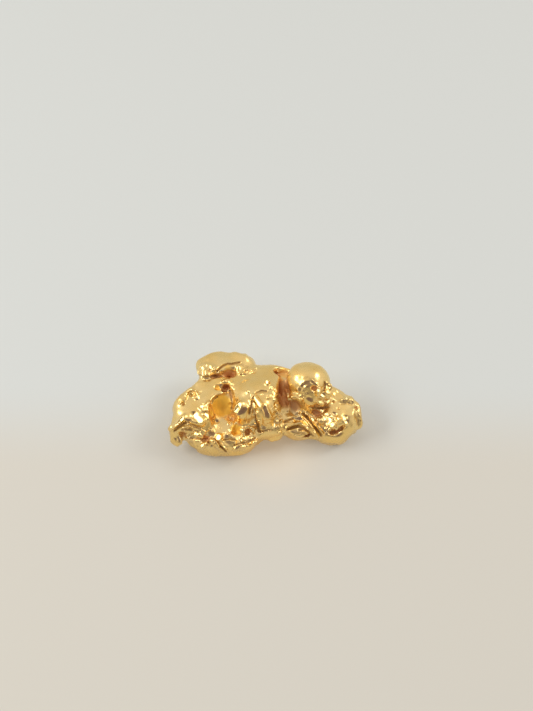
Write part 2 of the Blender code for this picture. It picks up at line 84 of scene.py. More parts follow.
def camera():
    data = bpy.data.cameras.new("camera")
    data.lens = LENS
    data.sensor_width = SENSOR
    data.clip_start = CLIP_NEAR
    data.clip_end = CLIP_FAR
    made = add_object("camera", data)
    back = Vector((0, -math.cos(ELEVATION), math.sin(ELEVATION)))
    made.location = Vector((0, 0, AIM_HEIGHT)) + back * (FOCAL_PX / PX_PER_MM * MM)
    # The aimed point shows at its own pixel, off the frame's middle.
    aim_px = (ORIGIN_PX[0], ORIGIN_PX[1] - AIM_HEIGHT / MM * math.cos(ELEVATION) * PX_PER_MM)
    pan = math.atan((aim_px[0] - FRAME_W / 2) / FOCAL_PX)
    tilt = math.atan((aim_px[1] - FRAME_H / 2) / FOCAL_PX)
    made.rotation_mode = "QUATERNION"
    made.rotation_quaternion = (-back).to_track_quat("-Z", "Y") @ Euler((tilt, pan, 0)).to_quaternion()
    bpy.context.scene.camera = made
    bpy.context.view_layer.update()
    return made


def sight_line(eye, pixel):
    """The camera's place and the direction through a pixel of the photograph, in millimetres."""
    across, down = pixel
    ray = Vector(((across - FRAME_W / 2) / FOCAL_PX, (FRAME_H / 2 - down) / FOCAL_PX, -1))
    return eye.matrix_world.translation / MM, (eye.matrix_world.to_quaternion() @ ray).normalized()


# ---- shader nodes
class Nodes:
    """The nodes of a world or a material. What adds one gives back its output."""

    def __init__(self, owner):
        owner.use_nodes = True
        self.tree = owner.node_tree

    def feed(self, socket, value):
        """Links another node's output to a socket, or sets the socket's own number, vector or colour."""
        if isinstance(value, bpy.types.NodeSocket):
            self.tree.links.new(value, socket)
        else:
            socket.default_value = (*value, 1) if socket.type == "RGBA" else value

    def add(self, kind, inputs, output, **settings):
        made = self.tree.nodes.new("ShaderNode" + kind)
        for name, value in settings.items():
            setattr(made, name, value)
        for name, value in inputs.items():
            self.feed(made.inputs[name], value)
        return made.outputs[output]

    def maths(self, operation, one, other):
        """Arithmetic whose result is held between 0 and 1."""
        return self.add("Math", {0: one, 1: other}, "Value", operation=operation, use_clamp=True)

    def scaled(self, value, low, high, to_low=0, to_high=1, ease="LINEAR"):
        """A value between low and high, carried over to between to_low and to_high."""
        ends = {"From Min": low, "From Max": high, "To Min": to_low, "To Max": to_high}
        return self.add("MapRange", {"Value": value, **ends}, "Result", interpolation_type=ease)

    def eased(self, value, low, high):
        return self.scaled(value, low, high, ease="SMOOTHSTEP")

    def blended(self, share, one, other):
        """From one colour to the other, as the share goes from 0 to 1."""
        return self.add("Mix", {"Factor": share, "A": one, "B": other}, "Result", data_type="RGBA")

    def cloudy(self, place, size, detail):
        """Soft noise with patches of a size, in millimetres."""
        return self.add("TexNoise", {"Vector": place, "Scale": 1 / (size * MM), "Detail": detail}, "Fac")

    def share(self, name):
        """A number that each point of the mesh has."""
        return self.add("Attribute", {}, "Fac", attribute_name=name)


# ---- light
SKY_STRENGTH = 0.8
SKY_COLOUR = (0.98, 0.91, 0.87)
# What the metal mirrors in the room. name: (direction, full within, gone beyond, colour), angles in degrees
SKY_SHADES = dict(
    far_side_of_the_room=((0.0, 1.0, 0.10), 10, 60, (0.80, 0.78, 0.74)),
    darker_near_side=((0.0, -1.0, 0.10), 20, 80, (0.50, 0.46, 0.40)),
    whoever_looks_down=((-0.15, -0.62, 0.77), 15, 36, (0.20, 0.14, 0.22)),
    wall_behind_the_right_lamp=((0.678, 0.202, 0.706), 8, 26, (1.30, 1.22, 1.12)),
)


def world():
    made = bpy.data.worlds.new("studio")
    bpy.context.scene.world = made
    nodes = Nodes(made)
    seen = nodes.add("TexCoord", {}, "Generated")
    seen = nodes.add("VectorMath", {0: seen}, "Vector", operation="NORMALIZE")
    colour = SKY_COLOUR
    for direction, inner, outer, shade in SKY_SHADES.values():
        towards = {0: seen, 1: Vector(direction).normalized()}
        towards = nodes.add("VectorMath", towards, "Value", operation="DOT_PRODUCT")
        inside = nodes.eased(towards, math.cos(math.radians(outer)), math.cos(math.radians(inner)))
        colour = nodes.blended(inside, colour, shade)
    sky = nodes.tree.nodes["Background"]
    sky.inputs["Strength"].default_value = SKY_STRENGTH
    nodes.feed(sky.inputs["Color"], colour)


LAMP_DISTANCE = 0.12
# name: (direction, size, power)
LAMPS = {
    "left lamp": ((-0.705, -0.044, 0.707), (0.080, 0.034), 0.052),
    "right lamp": ((0.678, 0.202, 0.706), (0.036, 0.042), 0.026),
}


def lamp(name, direction, size, power):
    data = bpy.data.lights.new(name, "AREA")
    data.shape = "RECTANGLE"
    data.size, data.size_y = size
    data.energy = power
    made = add_object(name, data)
    towards = Vector(direction).normalized()
    made.location = towards * LAMP_DISTANCE
    made.rotation_mode = "QUATERNION"
    made.rotation_quaternion = (-towards).to_track_quat("-Z", "Y")


# ---- floor
FLOOR_SIZE, FLOOR_DROP, FLOOR_ROUGHNESS = 0.6, 0.00001, 0.9
# Painted shade: the floor is darker and warmer towards the front.
FLOOR_FAR, FLOOR_NEAR = (0.53, 0.57, 0.56), (0.53, 0.52, 0.46)
FLOOR_FAR_Y, FLOOR_NEAR_Y = 2 * MM, -3 * MM
FLOOR_PAINTED_LIGHT = (0.15, 0.14, 0.12)  # painted light: the floor glows a little all over, which lifts its shadows
PAINTED_GOLD_BOUNCE = (0.27, 0.21, 0.14)  # painted light: a warm glow on the floor in front of the nugget's middle, for the light the gold throws down
PAINTED_GOLD_BOUNCE_PLACE, PAINTED_GOLD_BOUNCE_REACH = (0.5 * MM, -1.7 * MM, 0), 3.2 * MM


def floor():
    bpy.ops.mesh.primitive_plane_add(size=FLOOR_SIZE, location=(0, 0, -FLOOR_DROP))
    made = bpy.context.object
    made.name = "floor"
    material = bpy.data.materials.new("floor")
    nodes = Nodes(material)
    shader = nodes.tree.nodes["Principled BSDF"]
    place = nodes.add("TexCoord", {}, "Object")
    # painted shade, darker and warmer towards the front
    far = nodes.eased(nodes.add("SeparateXYZ", {0: place}, "Y"), FLOOR_NEAR_Y, FLOOR_FAR_Y)
    nodes.feed(shader.inputs["Base Color"], nodes.blended(far, FLOOR_NEAR, FLOOR_FAR))
    # Painted light: the floor glows a little all over, and warmer in front of the nugget's middle.
    away = nodes.add("VectorMath", {0: place, 1: PAINTED_GOLD_BOUNCE_PLACE}, "Value", operation="DISTANCE")
    away = nodes.eased(away, 0, PAINTED_GOLD_BOUNCE_REACH)
    nodes.feed(shader.inputs["Emission Color"], nodes.blended(away, PAINTED_GOLD_BOUNCE, FLOOR_PAINTED_LIGHT))
    shader.inputs["Roughness"].default_value = FLOOR_ROUGHNESS
    shader.inputs["Emission Strength"].default_value = 1
    made.data.materials.append(material)


# ---- the metal as clay
SAME_POINT = 1e-7  # in metres
SOFTNESS = 0.5  # of the smoothing after a remesh
EASED_EDGE = 1.7  # how steeply what is done to a place falls off at its edge
UNEVEN_SPAN, UNEVEN_SHARE = 0.12, 0.25  # how the height of a ridge or furrow wavers
FLAT_DEEPEST, FACET_DEEPEST = 0.25, 0.09
SEEDS_A_PIXEL = 10  # so that each spot breaks in its own way
SHELTER_RAYS, SHELTER_REACH, SHELTER_START = 14, 1.3, 0.02
SHELTER_SPREAD, GOLDEN_ANGLE = 0.9, 2.39996


def listed(items, name, width, kind=float):
    """A property of each of Blender's items, as an array with a row for each."""
    values = np.empty(len(items) * width, dtype=kind)
    items.foreach_get(name, values)
    return values.reshape(-1, width)


def neighbours(values, edges):
    """The mean of the values at the other ends of each value's edges."""
    one, other = edges.T
    total = np.zeros_like(values)
    np.add.at(total, one, values[other])
    np.add.at(total, other, values[one])
    count = np.bincount(edges.ravel(), minlength=len(values))
    return total / count.reshape((-1,) + (1,) * (values.ndim - 1))


def eased(away, reach):
    """1 near the middle, falling smoothly to 0 at the reach."""
    share = np.clip(EASED_EDGE * (1 - away / reach), 0, 1)
    return share * share * (3 - 2 * share)


def ramp(values, start, over):
    """0 up to the start, rising evenly to 1."""
    return np.clip((values - start) / over, 0, 1)


def capped(moves, most):
    """Moves as they are while small, and never more than the most."""
    return most * np.tanh(moves / most)


class Clay:
    """The nugget's mesh while it is worked, in millimetres."""

    def __init__(self, piece, eye):
        self.piece = piece
        self.eye = eye
        self.read()

    def read(self):
        data = self.piece.data
        self.points = listed(data.vertices, "co", 3)
        self.faces = [tuple(face.vertices) for face in data.polygons]
        self.edges = listed(data.edges, "vertices", 2, int)
        self.settle()

    def settle(self):
        """After points have moved: new normals, and a new surface to place things on."""
        data = self.piece.data
        data.vertices.foreach_set("co", self.points.ravel())
        data.update()
        self.normals = listed(data.vertices, "normal", 3)
        self.surface = BVHTree.FromPolygons(self.points.tolist(), self.faces)

    def remesh(self, voxel, softening):
        """Spreads the mesh evenly again."""
        renew = self.piece.modifiers.new("renew", "REMESH")
        renew.mode = "VOXEL"
        renew.voxel_size = voxel
        soft = self.piece.modifiers.new("soft", "SMOOTH")
        soft.factor = SOFTNESS
        soft.iterations = softening
        self.apply()

    def thin(self, most):
        """Takes out the triangles that shape the surface least."""
        whole = sum(len(face) - 2 for face in self.faces)
        fewer = self.piece.modifiers.new("fewer", "DECIMATE")
        fewer.ratio = most / whole
        self.apply()

    def apply(self):
        bpy.context.view_layer.update()
        graph = bpy.context.evaluated_depsgraph_get()
        self.piece.data = bpy.data.meshes.new_from_object(self.piece.evaluated_get(graph))
        self.piece.modifiers.clear()
        self.read()

    def facing_eye(self):
        """How far each point faces the camera, from -1 to 1."""
        eye = np.array(self.eye.matrix_world.translation / MM)
        return self.normals @ (eye / np.linalg.norm(eye))

    def place(self, spot):
        """The place on the metal that shows at a pixel, or that is nearest to a point."""
        if len(spot) == 2:
            return self.surface.ray_cast(*sight_line(self.eye, spot))[0]
        return self.surface.find_nearest(Vector(spot))[0]

    def draped(self, spots):
        """The broken line through pixels or points, as places on the metal that lie close together."""
        steps = [spots[0]]
        for start, end in zip(spots, spots[1:]):
            count = max(1, math.ceil(math.dist(start, end) * (1 if len(start) == 2 else PX_PER_MM)))
            for step in range(1, count + 1):
                steps.append(tuple(a + (b - a) * step / count for a, b in zip(start, end)))
        places = [self.place(step) for step in steps]
        return [place for place in places if place is not None]

    def near(self, places, reach):
        """The points within reach of a line of places, and how far from it each is."""
        if not places:
            return np.empty(0, dtype=int), np.empty(0)
        places = np.array(places)
        low, high = places.min(axis=0) - reach, places.max(axis=0) + reach
        found = np.flatnonzero(np.all((self.points > low) & (self.points < high), axis=1))
        away = np.full(len(found), np.inf)
        spots = self.points[found]
        for start, end in zip(places, places[1:]) if len(places) > 1 else [(places[0], places[0])]:
            along = end - start
            length = along @ along
            share = np.clip((spots - start) @ along / length, 0, 1) if length > 0 else np.zeros(len(spots))
            away = np.minimum(away, np.linalg.norm(spots - start - share[:, None] * along, axis=1))
        inside = away < reach
        return found[inside], away[inside]

    def press(self, spots, radius, height):
        """A rounded ridge (height above 0) or furrow (below 0) along a line, or a bump or pit at one spot."""
        near, away = self.near(self.draped(spots), radius)
        uneven = np.array([noise.noise(Vector(point) / UNEVEN_SPAN) for point in self.points[near]])
        rise = height * (1 - (away / radius) ** 2) ** 2 * (1 + UNEVEN_SHARE * uneven)
        self.points[near] += self.normals[near] * rise[:, None]

    def flatten(self, spots, radius, facing, strength=1, deepest=FLAT_DEEPEST):
        """Turns the metal along a line or round a spot into a flat that faces a given way."""
        places = self.draped(spots)
        near, away = self.near(places, radius)
        facing = np.array(Vector(facing).normalized())
        off = capped((self.points[near] - np.mean(places, axis=0)) @ facing, deepest)
        pull = strength * eased(away, radius)
        self.points[near] -= facing * (off * pull)[:, None]

    def facet(self, reach, span, facing, jitter, strength, spot):
        """Breaks the metal round a spot into facets a span across that face much the same way."""
        near, away = self.near(self.draped([spot]), reach)
        if not len(near):
            return
        chance = np.random.default_rng(int(sum(spot) * SEEDS_A_PIXEL))
        seeds = []
        for index in chance.permutation(near):
            if all(np.linalg.norm(self.points[index] - seed) > span for seed in seeds):
                seeds.append(self.points[index])
        seeds = np.array(seeds)
        facings = np.array(Vector(facing).normalized()) + chance.normal(scale=jitter, size=(len(seeds), 3))
        facings /= np.linalg.norm(facings, axis=1)[:, None]
        apart = np.linalg.norm(self.points[near][:, None] - seeds[None], axis=2)
        own = apart.argmin(axis=1)
        off = capped(np.einsum("ij,ij->i", self.points[near] - seeds[own], facings[own]), FACET_DEEPEST)
        self.points[near] -= facings[own] * (off * strength * eased(away, reach))[:, None]

    def weigh(self, zones):
        """How much each point belongs to the zones, each (reach, share, *spots)."""
        total = np.zeros(len(self.points))
        for reach, share, *spots in zones.values():
            for spot in spots:
                near, away = self.near(self.draped([spot]), reach)
                total[near] = np.maximum(total[near], share * eased(away, reach))
        return total

    def calm_down(self, zones, rounds):
        """Draws the metal out evenly, as a skin, across the zones."""
        share = self.weigh(zones)
        edges = self.edges[(share[self.edges] > 0).any(axis=1)]
        known, edges = np.unique(edges, return_inverse=True)
        edges = edges.reshape(-1, 2)
        pull = np.where(share[known] > 0, 1, 0)[:, None]
        spots = self.points[known]
        for _ in range(rounds):
            spots = spots + (neighbours(spots, edges) - spots) * pull / 2
        self.points[known] += (spots - self.points[known]) * share[known][:, None]
        self.settle()

    def smooth(self, values, rounds):
        """Values, one a point, evened out with their neighbours'."""
        for _ in range(rounds):
            values = (values + neighbours(values, self.edges)) / 2
        return values

    def carried(self, points, values):
        """Values, one for each of some points, as they are at the nearest of this mesh's points."""
        tree = KDTree(len(points))
        for index, point in enumerate(points.tolist()):
            tree.insert(point, index)
        tree.balance()
        return values[[tree.find(point)[1] for point in self.points.tolist()]]

    def shelter(self):
        """How shut in each point is: the share of the directions outward from it that soon meet metal."""
        rays = []
        for turn in range(SHELTER_RAYS):
            lift = 1 - (turn + 0.5) / SHELTER_RAYS * SHELTER_SPREAD
            out = math.sqrt(1 - lift * lift)
            angle = turn * GOLDEN_ANGLE
            rays.append(Vector((out * math.cos(angle), out * math.sin(angle), lift)))
        hit_share = np.empty(len(self.points))
        for index, (point, normal) in enumerate(zip(self.points.tolist(), self.normals.tolist())):
            normal = Vector(normal)
            start = Vector(point) + normal * SHELTER_START
            turned = normal.to_track_quat("Z", "Y")
            hits = [self.surface.ray_cast(start, turned @ ray, SHELTER_REACH)[0] for ray in rays]
            hit_share[index] = sum(hit is not None for hit in hits) / SHELTER_RAYS
        return hit_share


# ---- the places on the nugget
# A spot is the pixel of the photograph that shows it. Radii, heights, reaches and spans are in millimetres.
# Which way flats face, so that they mirror a lamp, whoever looks or the open room.
TO_LEFT = (-0.39, -0.30, 0.87)
TO_RIGHT = (0.39, -0.17, 0.90)
TO_LOOKER = (-0.08, -0.56, 0.82)
TO_FRONT = (0.0, -0.85, 0.52)
TO_END = (0.75, -0.55, 0.35)
UP = (0.0, 0.0, 1.0)
LEVEL_ISH = (0.05, -0.2, 0.98)
WALL_FACING = (-0.1, -0.72, 0.68)

# Bumps and dents that give places their form. name: (radius, height, *spots)
FORMS = dict(
    hollow_floor=(0.62, 0.24, (221, 404)),
    tip_side=(0.22, 0.12, (180.5, 440), (180, 443)),
    plateau_shoulder=(0.34, 0.1, (181, 400), (184, 395.5), (188, 391.5), (194, 387.5), (200, 383)),
    middle_foot=(0.28, 0.12, (270, 440), (275, 439), (281, 436.5)),
    lump_underside=(0.34, -0.06, (327, 445), (338, 446)),
    slab_crest=(0.38, 0.08, (236, 354), (244, 356.5)),
    tip_corner=(0.26, -0.12, (171.5, 445)),
    canyon_left_wall=(0.18, -0.24, (280, 385), (279.5, 393)),
    canyon_head=(0.27, -0.24, (278, 371.5), (286.5, 373)),
    canyon_floor=(0.36, 0.3, (283.5, 386), (284, 408)),
    cave_floor=(0.28, 0.16, (295, 405)),
    slab_hole_floor=(0.22, 0.12, (229, 374)),
    shelf_fill=(0.26, 0.16, (290, 396), (301, 398)),
    small_hollow_fill=(0.32, 0.26, (237, 429)),
    slab_corner_fill=(0.3, 0.2, (201, 373), (208, 374)),
    wide_crevice=(0.16, 0.08, (253, 396), (252, 402), (251, 409), (249, 417)),
    wide_crease=(0.16, 0.08, (256, 413), (259, 420), (262, 429)),
    end_fill=(0.3, 0.12, (357, 417)),
    small_hollow_fill_low=(0.24, 0.22, (235, 432.5)),
    slab_lump=(0.15, 0.09, (238.5, 367), (237.5, 371)),
    twin_hole_lip=(0.15, 0.09, (224, 382), (228, 380.5), (232, 384)),
    twin_hole_left=(0.16, -0.12, (217.5, 387.7)),
    twin_hole_right=(0.2, -0.24, (226, 387)),
    mid_top_knob=(0.17, 0.11, (267.5, 382)),
    lobe_crest=(0.18, 0.08, (234, 411), (236.5, 407), (241, 403)),
    crevice_side_left=(0.12, 0.09, (249.8, 400), (249.8, 406)),
    crevice_side_right=(0.15, 0.13, (255, 397), (258, 401.5), (261, 405.5)),
    hollow_rim=(0.12, 0.07, (207.5, 412), (207, 407), (208.5, 402)),
    front_ridge=(0.17, 0.09, (170, 430), (175, 426), (180, 421), (184.5, 416)),
    ball_fold_left=(0.2, 0.22, (317.8, 388), (317.5, 393)),
    ball_fold_right=(0.2, 0.25, (327.3, 385), (327.5, 391), (326.5, 396)),
    ball_fold_low_left=(0.25, 0.24, (320.4, 402.5)),
    ball_fold_low_right=(0.23, 0.24, (326.7, 402)),
    ball_fold_middle=(0.2, 0.22, (322.5, 396)),
    ball_pit=(0.13, -0.09, (312.5, 387.5), (315.5, 388.5)),
    crinkle_1=(0.26, 0.24, (320, 420.7)),
    crinkle_2=(0.22, 0.2, (326.7, 414.5)),
    crinkle_3=(0.17, 0.15, (331, 419)),
    crinkle_4=(0.26, 0.26, (332.5, 424.5)),
    crinkle_5=(0.23, 0.22, (338.4, 419)),
    crinkle_6=(0.18, 0.18, (336, 427.5)),
    crinkle_7=(0.2, 0.18, (328.5, 429.5)),
    crinkle_8=(0.13, -0.12, (324.5, 426)),
    crinkle_9=(0.11, -0.1, (335, 414.5)),
    crinkle_10=(0.11, -0.08, (326, 420)),
    crescent=(0.12, -0.09, (326, 431.3), (331, 433), (337, 431.3), (342, 428.3), (345.5, 425.5)),
    shadow_above_the_lump=(0.18, -0.08, (314, 411), (318, 413), (321, 415)),
    chin_cavity=(0.19, -0.24, (205, 439.5), (208.5, 440)),
    chin_arch=(
        0.15, 0.17, (202.5, 446.5), (205, 443.5), (208, 441.3), (211.5, 440), (215, 441.5), (217.5, 446),
    ),
    chin_bead_left=(0.17, 0.14, (202.5, 446)),
    chin_bead_right=(0.15, 0.14, (207.3, 445)),
    chin_nook=(0.12, -0.14, (211.7, 446)),
    block=(0.25, 0.24, (219.3, 437.3)),
    left_wall_knob=(0.16, 0.09, (185, 430)),
    wall_hollow=(0.16, -0.1, (196, 437), (189, 436)),
    little_bowl=(0.2, -0.12, (248, 432)),
    bowl_bead_left=(0.15, 0.15, (242, 429.3)),
    bowl_bead_right=(0.15, 0.15, (253, 428.6)),
    rim_bead_1=(0.16, 0.12, (246, 444.5)),
    rim_bead_2=(0.16, 0.13, (253.5, 441)),
    rim_bead_3=(0.15, 0.11, (238.5, 443)),
    right_pit=(0.12, -0.08, (356, 408)),
)
# Broad flats. name: (radius, facing, strength, *spots)
FLATS = dict(
    plateau_glint=(0.26, TO_LEFT, 1, (194.5, 415.5), (202.5, 421.5)),
    plateau_glint_right=(0.17, TO_LEFT, 1, (205, 413.5), (209.5, 418)),
    slab_corner=(0.3, LEVEL_ISH, 1, (200, 371.5), (200.5, 376)),
    slab_corner_right=(0.22, LEVEL_ISH, 0.8, (206, 372), (207, 375)),
    fold_1=(0.25, TO_RIGHT, 1, (317.5, 390.5)),
    fold_2=(0.25, TO_RIGHT, 1, (327.2, 386.5), (327, 392.5)),
    fold_3=(0.27, TO_RIGHT, 1, (320.4, 402)),
    fold_4=(0.25, TO_RIGHT, 1, (326.7, 401)),
    fold_5=(0.23, TO_RIGHT, 1, (322.5, 396)),
    brow=(0.13, TO_LEFT, 1, (203, 365), (208, 366.2), (213.5, 369)),
    front_ridge=(0.14, TO_LEFT, 1, (183.3, 418), (177, 425.5)),
    top_knob_glint=(0.21, TO_LEFT, 1, (267.5, 382)),
    crease_glint_high=(0.14, TO_LEFT, 1, (257.5, 411.7)),
    crease_glint_low=(0.14, TO_LEFT, 1, (259, 420.5)),
    end_glint=(0.2, TO_RIGHT, 1, (345, 417.5), (345.3, 423)),
    grain_glint_high=(0.15, TO_LEFT, 0.9, (275, 399.5)),
    grain_glint_low=(0.15, TO_LEFT, 0.9, (278, 413)),
    grain_glint_foot=(0.14, TO_LEFT, 0.9, (281, 420.5)),
    grain_glint_foot_low=(0.14, TO_LEFT, 0.9, (279.8, 431.5)),
    under_the_arch=(0.17, TO_FRONT, 1, (306, 388.5), (309, 391)),
    end_tail=(0.34, TO_END, 1, (355.5, 426.5)),
    dome_glint=(0.16, TO_LEFT, 1, (303.5, 397.5)),
    crevice_side_right=(0.18, TO_LEFT, 1, (255.5, 398.5), (260, 405)),
    crevice_side_left=(0.12, TO_LEFT, 1, (249.8, 402.5), (249.8, 407)),
    lobe_glint=(0.16, TO_LEFT, 1, (235, 411.5), (240, 405)),
    terrace=(0.42, UP, 0.8, (216, 424), (226, 430)),
    crinkled_lump=(0.42, TO_LEFT, 0.6, (325, 417), (334, 424)),
    chin_side=(0.22, TO_FRONT, 0.8, (228, 441.5)),
    lobe_shade=(0.18, TO_LOOKER, 0.9, (238, 414), (246, 409)),
    facet_shade=(0.24, TO_LOOKER, 1, (264.5, 408), (268.5, 416.5)),
    block=(0.34, TO_LEFT, 1, (219.3, 437)),
    facet=(0.2, TO_FRONT, 0.9, (267.5, 422)),
    foot_shade=(0.17, TO_LOOKER, 1, (263, 426.5), (269.5, 429.5)),
    shoulder=(0.36, UP, 0.9, (332, 390), (336, 394), (341, 397)),
    end_top=(0.38, UP, 0.9, (351, 411)),
    shelf=(0.18, TO_FRONT, 0.9, (293, 396.5), (299, 397.5)),
)
# Furrows, below 0 in height, and ridges. name: (radius, height, *spots)
LINES = dict(
    slab_arch_crack=(
        0.075, -0.1, (217, 372), (220, 368), (223, 365.5), (227, 364), (231, 364), (235, 363), (240, 362.5),
    ),
    slab_crevice=(0.085, -0.09, (208, 376.8), (213, 376), (222, 376.5)),
    slab_right_crack=(0.06, -0.03, (241, 363), (244, 366), (249, 366.5)),
    slab_right_rim=(0.08, 0.06, (240, 373.5), (245, 374), (251, 372.5), (256, 368.5)),
    crater_rim=(
        0.085, 0.12, (186.5, 396), (186.3, 393), (189, 390.8), (192.5, 390), (196, 392), (197.3, 395.5),
        (196, 398.5),
    ),
    crater_curl=(0.07, 0.07, (192.3, 393.5), (193.3, 396.5)),
    crater_tick=(0.06, 0.05, (199, 395.5), (198, 399)),
    left_pit_lip=(0.08, 0.07, (180, 403.5), (182.5, 400.5), (186, 398)),
    chin_arch=(0.1, 0.1, (204, 444.5), (207, 442), (211, 440.3), (215, 441.7), (218, 446)),
    chin_line=(0.085, -0.11, (214, 438.5), (217, 442), (220, 446), (226, 451.5)),
    chin_line_ridge=(0.08, 0.06, (219.5, 442), (222.5, 447), (227, 450)),
    chin_rim=(0.09, 0.08, (234, 449), (241, 447), (250, 445), (257, 440)),
    chin_rim_furrow=(0.08, -0.08, (234, 445.5), (241, 443.5), (250, 441), (255, 438)),
    chin_side_crack=(0.07, -0.07, (224, 440), (230, 439), (236, 440.5)),
    front_ridge_foot=(0.075, -0.08, (174.5, 431), (179, 427.3), (184, 423.3), (189, 422.3)),
    wall_ridge_high=(0.085, 0.1, (183, 427.5), (190, 426), (197, 428.5), (205, 432)),
    wall_ridge_low=(0.08, 0.09, (187, 435), (194, 433.5), (201, 436), (206, 437)),
    wall_furrow_high=(0.075, -0.08, (182, 430), (190, 429.5), (198, 432)),
    wall_furrow_low=(0.07, -0.07, (191, 438), (198, 438.5), (203, 440)),
    hollow_lip=(0.09, 0.06, (209, 403), (211, 398.5), (215, 395), (220, 393.3), (226, 393)),
    hollow_lip_foot=(0.075, -0.07, (211.5, 403.5), (213.5, 399.5), (217.5, 396.8)),
    hollow_right_side=(0.085, -0.08, (229.5, 391), (231, 396), (232, 402), (231.5, 409)),
    small_hollow_rim_left=(0.08, 0.08, (229, 434), (232, 428), (236, 423)),
    small_hollow_rim_right=(0.08, 0.08, (241, 438), (242, 433), (240.5, 428)),
    little_bowl_rim=(0.08, 0.08, (244, 436), (243, 430), (247, 427), (252, 428), (254, 433)),
    crevice=(0.075, -0.09, (253, 396), (252, 402), (250.7, 408), (249.5, 414)),
    middle_crease=(0.08, -0.09, (255, 412), (255.5, 418), (257, 424), (259, 431)),
    middle_foot_crease=(0.08, -0.08, (260, 432), (265, 430.5), (272, 430)),
    middle_facet_edge=(0.075, 0.06, (260.5, 407), (263, 413), (264, 420), (263.5, 427)),
    slit=(0.06, -0.07, (256, 393), (261, 391), (267, 391.5)),
    canyon_rib=(0.08, 0.09, (286, 390), (289, 397), (289.5, 404), (288, 411)),
    shelf_edge=(0.08, 0.06, (289, 397), (295, 397), (301, 399.5)),
    outer_rib=(0.085, 0.13, (300, 413.5), (306, 419.5), (312.5, 428), (318.5, 437)),
    outer_rib_furrow=(0.07, -0.11, (303, 413.5), (309, 419.5), (315.5, 428), (321, 436)),
    inner_rib=(0.08, 0.11, (306, 413), (312, 419), (318.5, 427.5), (323.5, 434.5)),
    keel_ledge=(0.09, 0.1, (284, 428), (288, 426), (294, 424), (300, 423), (304, 425), (308, 429)),
    keel_ledge_shadow=(0.08, -0.09, (287, 430), (292, 428), (298, 426.5), (303, 428.5)),
    keel_fold_1=(0.08, -0.08, (299, 430), (304, 429), (309, 432), (313, 436)),
    keel_fold_2=(0.07, -0.05, (295, 434), (302, 433.5), (308, 436)),
    keel_furrow_above=(0.08, -0.08, (284, 422), (289, 420), (293, 418)),
    ball_slot=(0.07, -0.09, (324.5, 382), (325, 387), (324, 391)),
    crease_under_the_dome=(0.08, -0.09, (311, 407.5), (318, 408.5), (328, 407)),
    crescent_bottom=(0.08, -0.05, (328, 431.3), (332, 432.3), (337, 430.8), (342, 427.6)),
    shoulder_crinkle=(0.085, 0.09, (340, 401), (343, 399.8), (347, 401), (350, 399.5), (353, 402)),
    shoulder_crinkle_furrow=(0.07, -0.04, (341, 403.5), (347, 403), (352, 404.5)),
    end_fold_1=(0.08, 0.06, (357, 412), (360, 416), (361, 421)),
    end_fold_2=(0.07, -0.04, (354.5, 414), (357.5, 419), (358, 425)),
)
# Pits. name: (radius, height, spot)
SPOTS = dict(
    brow_pit=(0.12, -0.11, (209.5, 370.3)),
    slab_pit_left=(0.13, -0.12, (246, 371.3)),
    slab_pit_right=(0.12, -0.11, (250, 371)),
    crater=(0.1, -0.07, (190.3, 394.8)),
    crater_small_pit=(0.07, -0.07, (187.7, 395.5)),
    left_pit=(0.11, -0.11, (183, 403.5)),
    speck_on_the_left=(0.06, -0.05, (200.5, 392)),
    hollow_dark_spot=(0.09, -0.07, (211.5, 401)),
    hollow_right_pit=(0.1, -0.12, (230.5, 404.5)),
    bright_patch_pit=(0.07, -0.07, (203, 409.3)),
    terrace_pit=(0.14, -0.1, (216.5, 421.3)),
    terrace_speck=(0.06, -0.04, (220.5, 428)),
    terrace_speck_left=(0.06, -0.04, (214, 427)),
    terrace_speck_low=(0.07, -0.05, (224.5, 433)),
    canyon_top_pit=(0.11, -0.12, (275.6, 372.3)),
    shoulder_pit=(0.08, -0.09, (333.6, 401.7)),
    end_pit=(0.07, -0.08, (338.4, 408.6)),
)
# Grains of gold, which stand up by a share of their radius. place: ((radius, spot), ...)
GRAIN_RISE = 0.8
GRAINS = dict(
    middle_top=(
        (0.08, (270.5, 386.5)), (0.08, (273, 390.5)), (0.1, (268.6, 397.6)), (0.12, (275, 399.5)),
        (0.07, (272, 394)),
    ),
    canyon_side=((0.09, (276.5, 405)), (0.13, (278, 413.5)), (0.08, (276, 409.5))),
    canyon_foot=(
        (0.11, (281.2, 421)), (0.1, (276, 421.5)), (0.09, (281, 427)), (0.08, (277.5, 426)),
        (0.11, (279.8, 432.3)), (0.09, (283.5, 434)),
    ),
    middle=((0.08, (280, 417)), (0.07, (274, 416))),
    below_the_hollow=((0.09, (230, 420)), (0.08, (228.5, 424)), (0.08, (233, 419))),
    slit=((0.07, (262, 394)), (0.09, (248, 391.5))),
)
# Worn level places, with crisp edges. name: (radius, spot)
LEVELS = dict(
    shoulder_high=(0.34, (334, 391)),
    shoulder_low=(0.3, (338, 396)),
)
